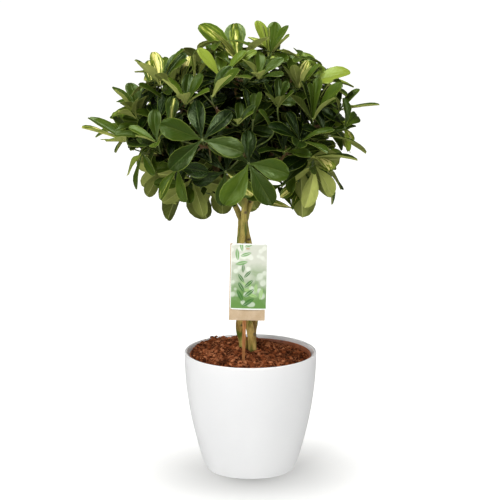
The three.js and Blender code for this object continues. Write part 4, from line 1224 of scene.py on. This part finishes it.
def makeBoard():
    wide, thick, high = label["board"]
    front = -thick - label["gap"]
    board = block((wide, thick, high), (label["boardShift"], front, label["boardLow"]))
    rounded(board, 0.3)
    tabWide, tabDeep, tabHigh = label["tab"]
    tabLow = label["boardLow"] + high - label["tabDown"]
    tab = block((tabWide, tabDeep + 0.5, tabHigh), (label["tabShift"], front - tabDeep, tabLow))
    rounded(tab, 0.8, 3)
    settleLabel(joined([board, tab]), "labelBoard", kraftBoard(), "board", "label_board")


def makeCard():
    wide, thick, high = label["card"]
    card = added(bpy.ops.mesh.primitive_plane_add, size=1)
    card.scale = (wide * mm, high * mm, 1)
    bpy.ops.object.transform_apply(scale=True)
    bpy.ops.object.mode_set(mode="EDIT")
    bpy.ops.mesh.select_all(action="SELECT")
    bpy.ops.mesh.bevel(offset=label["cardCorner"] * mm, segments=6, affect="VERTICES")
    for share in np.linspace(-0.45, 0.45, label["cardBends"]):
        bpy.ops.mesh.select_all(action="SELECT")
        bpy.ops.mesh.bisect(plane_co=(share * wide * mm, 0, 0), plane_no=(1, 0, 0))
    bpy.ops.object.mode_set(mode="OBJECT")
    layer = card.data.uv_layers.get("UVMap") or card.data.uv_layers.new(name="UVMap")
    layer.name = "cardPrint"
    for loop in card.data.loops:
        x, y, z = card.data.vertices[loop.vertex_index].co / mm
        layer.data[loop.index].uv = (x / wide + 0.5, y / high + 0.5)
    low = label["boardLow"] + label["cardLift"]
    front = -label["board"][1] - 2 * label["gap"] - thick - label["cardBow"]
    for corner in card.data.vertices:
        x, y, z = corner.co / mm
        bow = label["cardBow"] * 4 * (x / wide) ** 2
        corner.co = Vector((x + label["cardShift"], front + bow + thick / 2, y + high / 2 + low)) * mm
    sheet = card.modifiers.new("sheet", "SOLIDIFY")
    sheet.thickness, sheet.offset = thick * 0.9 * mm, 0
    applyAll(card)
    settleLabel(card, "labelCard", cardPrint(), "card", "label_card")


# making the object

makePlanter()
makeNurseryPot()
makeSoilBed()
makeChips()
makeFibres()
print("pots and soil made")
setOutShoots()
youngBark = barkSkin()
for name in stems:
    makeStem(name, youngBark)
print("stems made")
pattern, leafletSides = leafletPattern()
rng = np.random.default_rng(leaflet["draws"])
for number, shoot in enumerate(shoots):
    growBlades(number, shoot, pattern, rng)
print("leaflets of the solids:", sum(len(shoot["blades"]) for shoot in shoots))
fillCrown(pattern, rng)
leafGreen, stalkGreen = leafSkin(), stalkSkin()
for number, shoot in enumerate(shoots):
    makeLeaflets(number, shoot, pattern, leafletSides, leafGreen)
    makeStalks(number, shoot, stalkGreen)
print("leaflets in all:", sum(len(shoot["blades"]) for shoot in shoots))
makeStick()
makeBoard()
makeCard()
print("label made")


# floor, light and camera, in metres

studio = {"floor": 12, "floorGlow": 0.66, "floorShine": 0.06, "shadeMiddle": (0, -0.058, 0),
          "shadeReach": 0.275, "shadeCurve": 0.75, "backdrop": 1, "ambient": 0.06, "lightsAim": (0, 0, 0.4),
          "lights": (("topLight", (-0.3, -0.2, 2.6), 1.5, 68), ("leftLight", (-2.6, -1.9, 1.2), 1.5, 37),
                     ("rightLight", (2.6, -1.9, 1.0), 1.5, 37), ("keyLight", (-0.8, -2.7, 2.3), 0.9, 50)),
          "camera": (-0.0007, -4.9167, 1.5436), "pitch": 13.372, "lens": 219.9, "sensor": 36}


def floorWhite():
    # seen straight it glows white, with a soft shade round the pot that is partly real shade and partly a
    # painted shadow where the glow fades; its glow also lights the object from below as painted light, weaker
    material, tree, shader = newMaterial("floorWhite", 0.6, 0.2)
    ends = {0: objectPlace(tree), 1: studio["shadeMiddle"]}
    away = addNode(tree, "VectorMath", ends, operation="DISTANCE").outputs["Value"]
    lightening = maths(tree, "POWER", maths(tree, "DIVIDE", away, studio["shadeReach"]), studio["shadeCurve"])
    rays = addNode(tree, "LightPath", {}).outputs
    unseen = weighed(tree, rays["Is Glossy Ray"], studio["floorGlow"], studio["floorShine"])
    glow = weighed(tree, rays["Is Camera Ray"], unseen, maths(tree, "MINIMUM", lightening, 1))
    setInputs(tree, shader, {"Base Color": (0.3, 0.3, 0.295, 1), "Emission Color": (1, 1, 0.985, 1),
                             "Emission Strength": glow})
    return material


def makeFloor():
    floor = added(bpy.ops.mesh.primitive_plane_add, size=studio["floor"])
    floor.name = "floor"
    floor.data.materials.append(floorWhite())


def makeWorld():
    world = bpy.data.worlds.new("studio")
    bpy.context.scene.world = world
    world.use_nodes = True
    tree = world.node_tree
    seen = addNode(tree, "LightPath", {}).outputs["Is Camera Ray"]
    strength = weighed(tree, seen, studio["ambient"], studio["backdrop"])
    setInputs(tree, tree.nodes["Background"], {"Color": (1, 1, 1, 1), "Strength": strength})


def softLight(name, place, size, power):
    light = added(bpy.ops.object.light_add, type="AREA", location=place)
    light.name = name
    light.data.size, light.data.energy = size, power
    light.rotation_euler = (Vector(studio["lightsAim"]) - Vector(place)).to_track_quat("-Z", "Y").to_euler()


makeFloor()
makeWorld()
for name, place, size, power in studio["lights"]:
    softLight(name, place, size, power)

camera = added(bpy.ops.object.camera_add, location=studio["camera"],
               rotation=((90 - studio["pitch"]) * degree, 0, 0))
camera.data.lens, camera.data.sensor_width, camera.data.clip_end = studio["lens"], studio["sensor"], 100
bpy.context.scene.camera = camera
bpy.context.scene.view_settings.view_transform = "Standard"
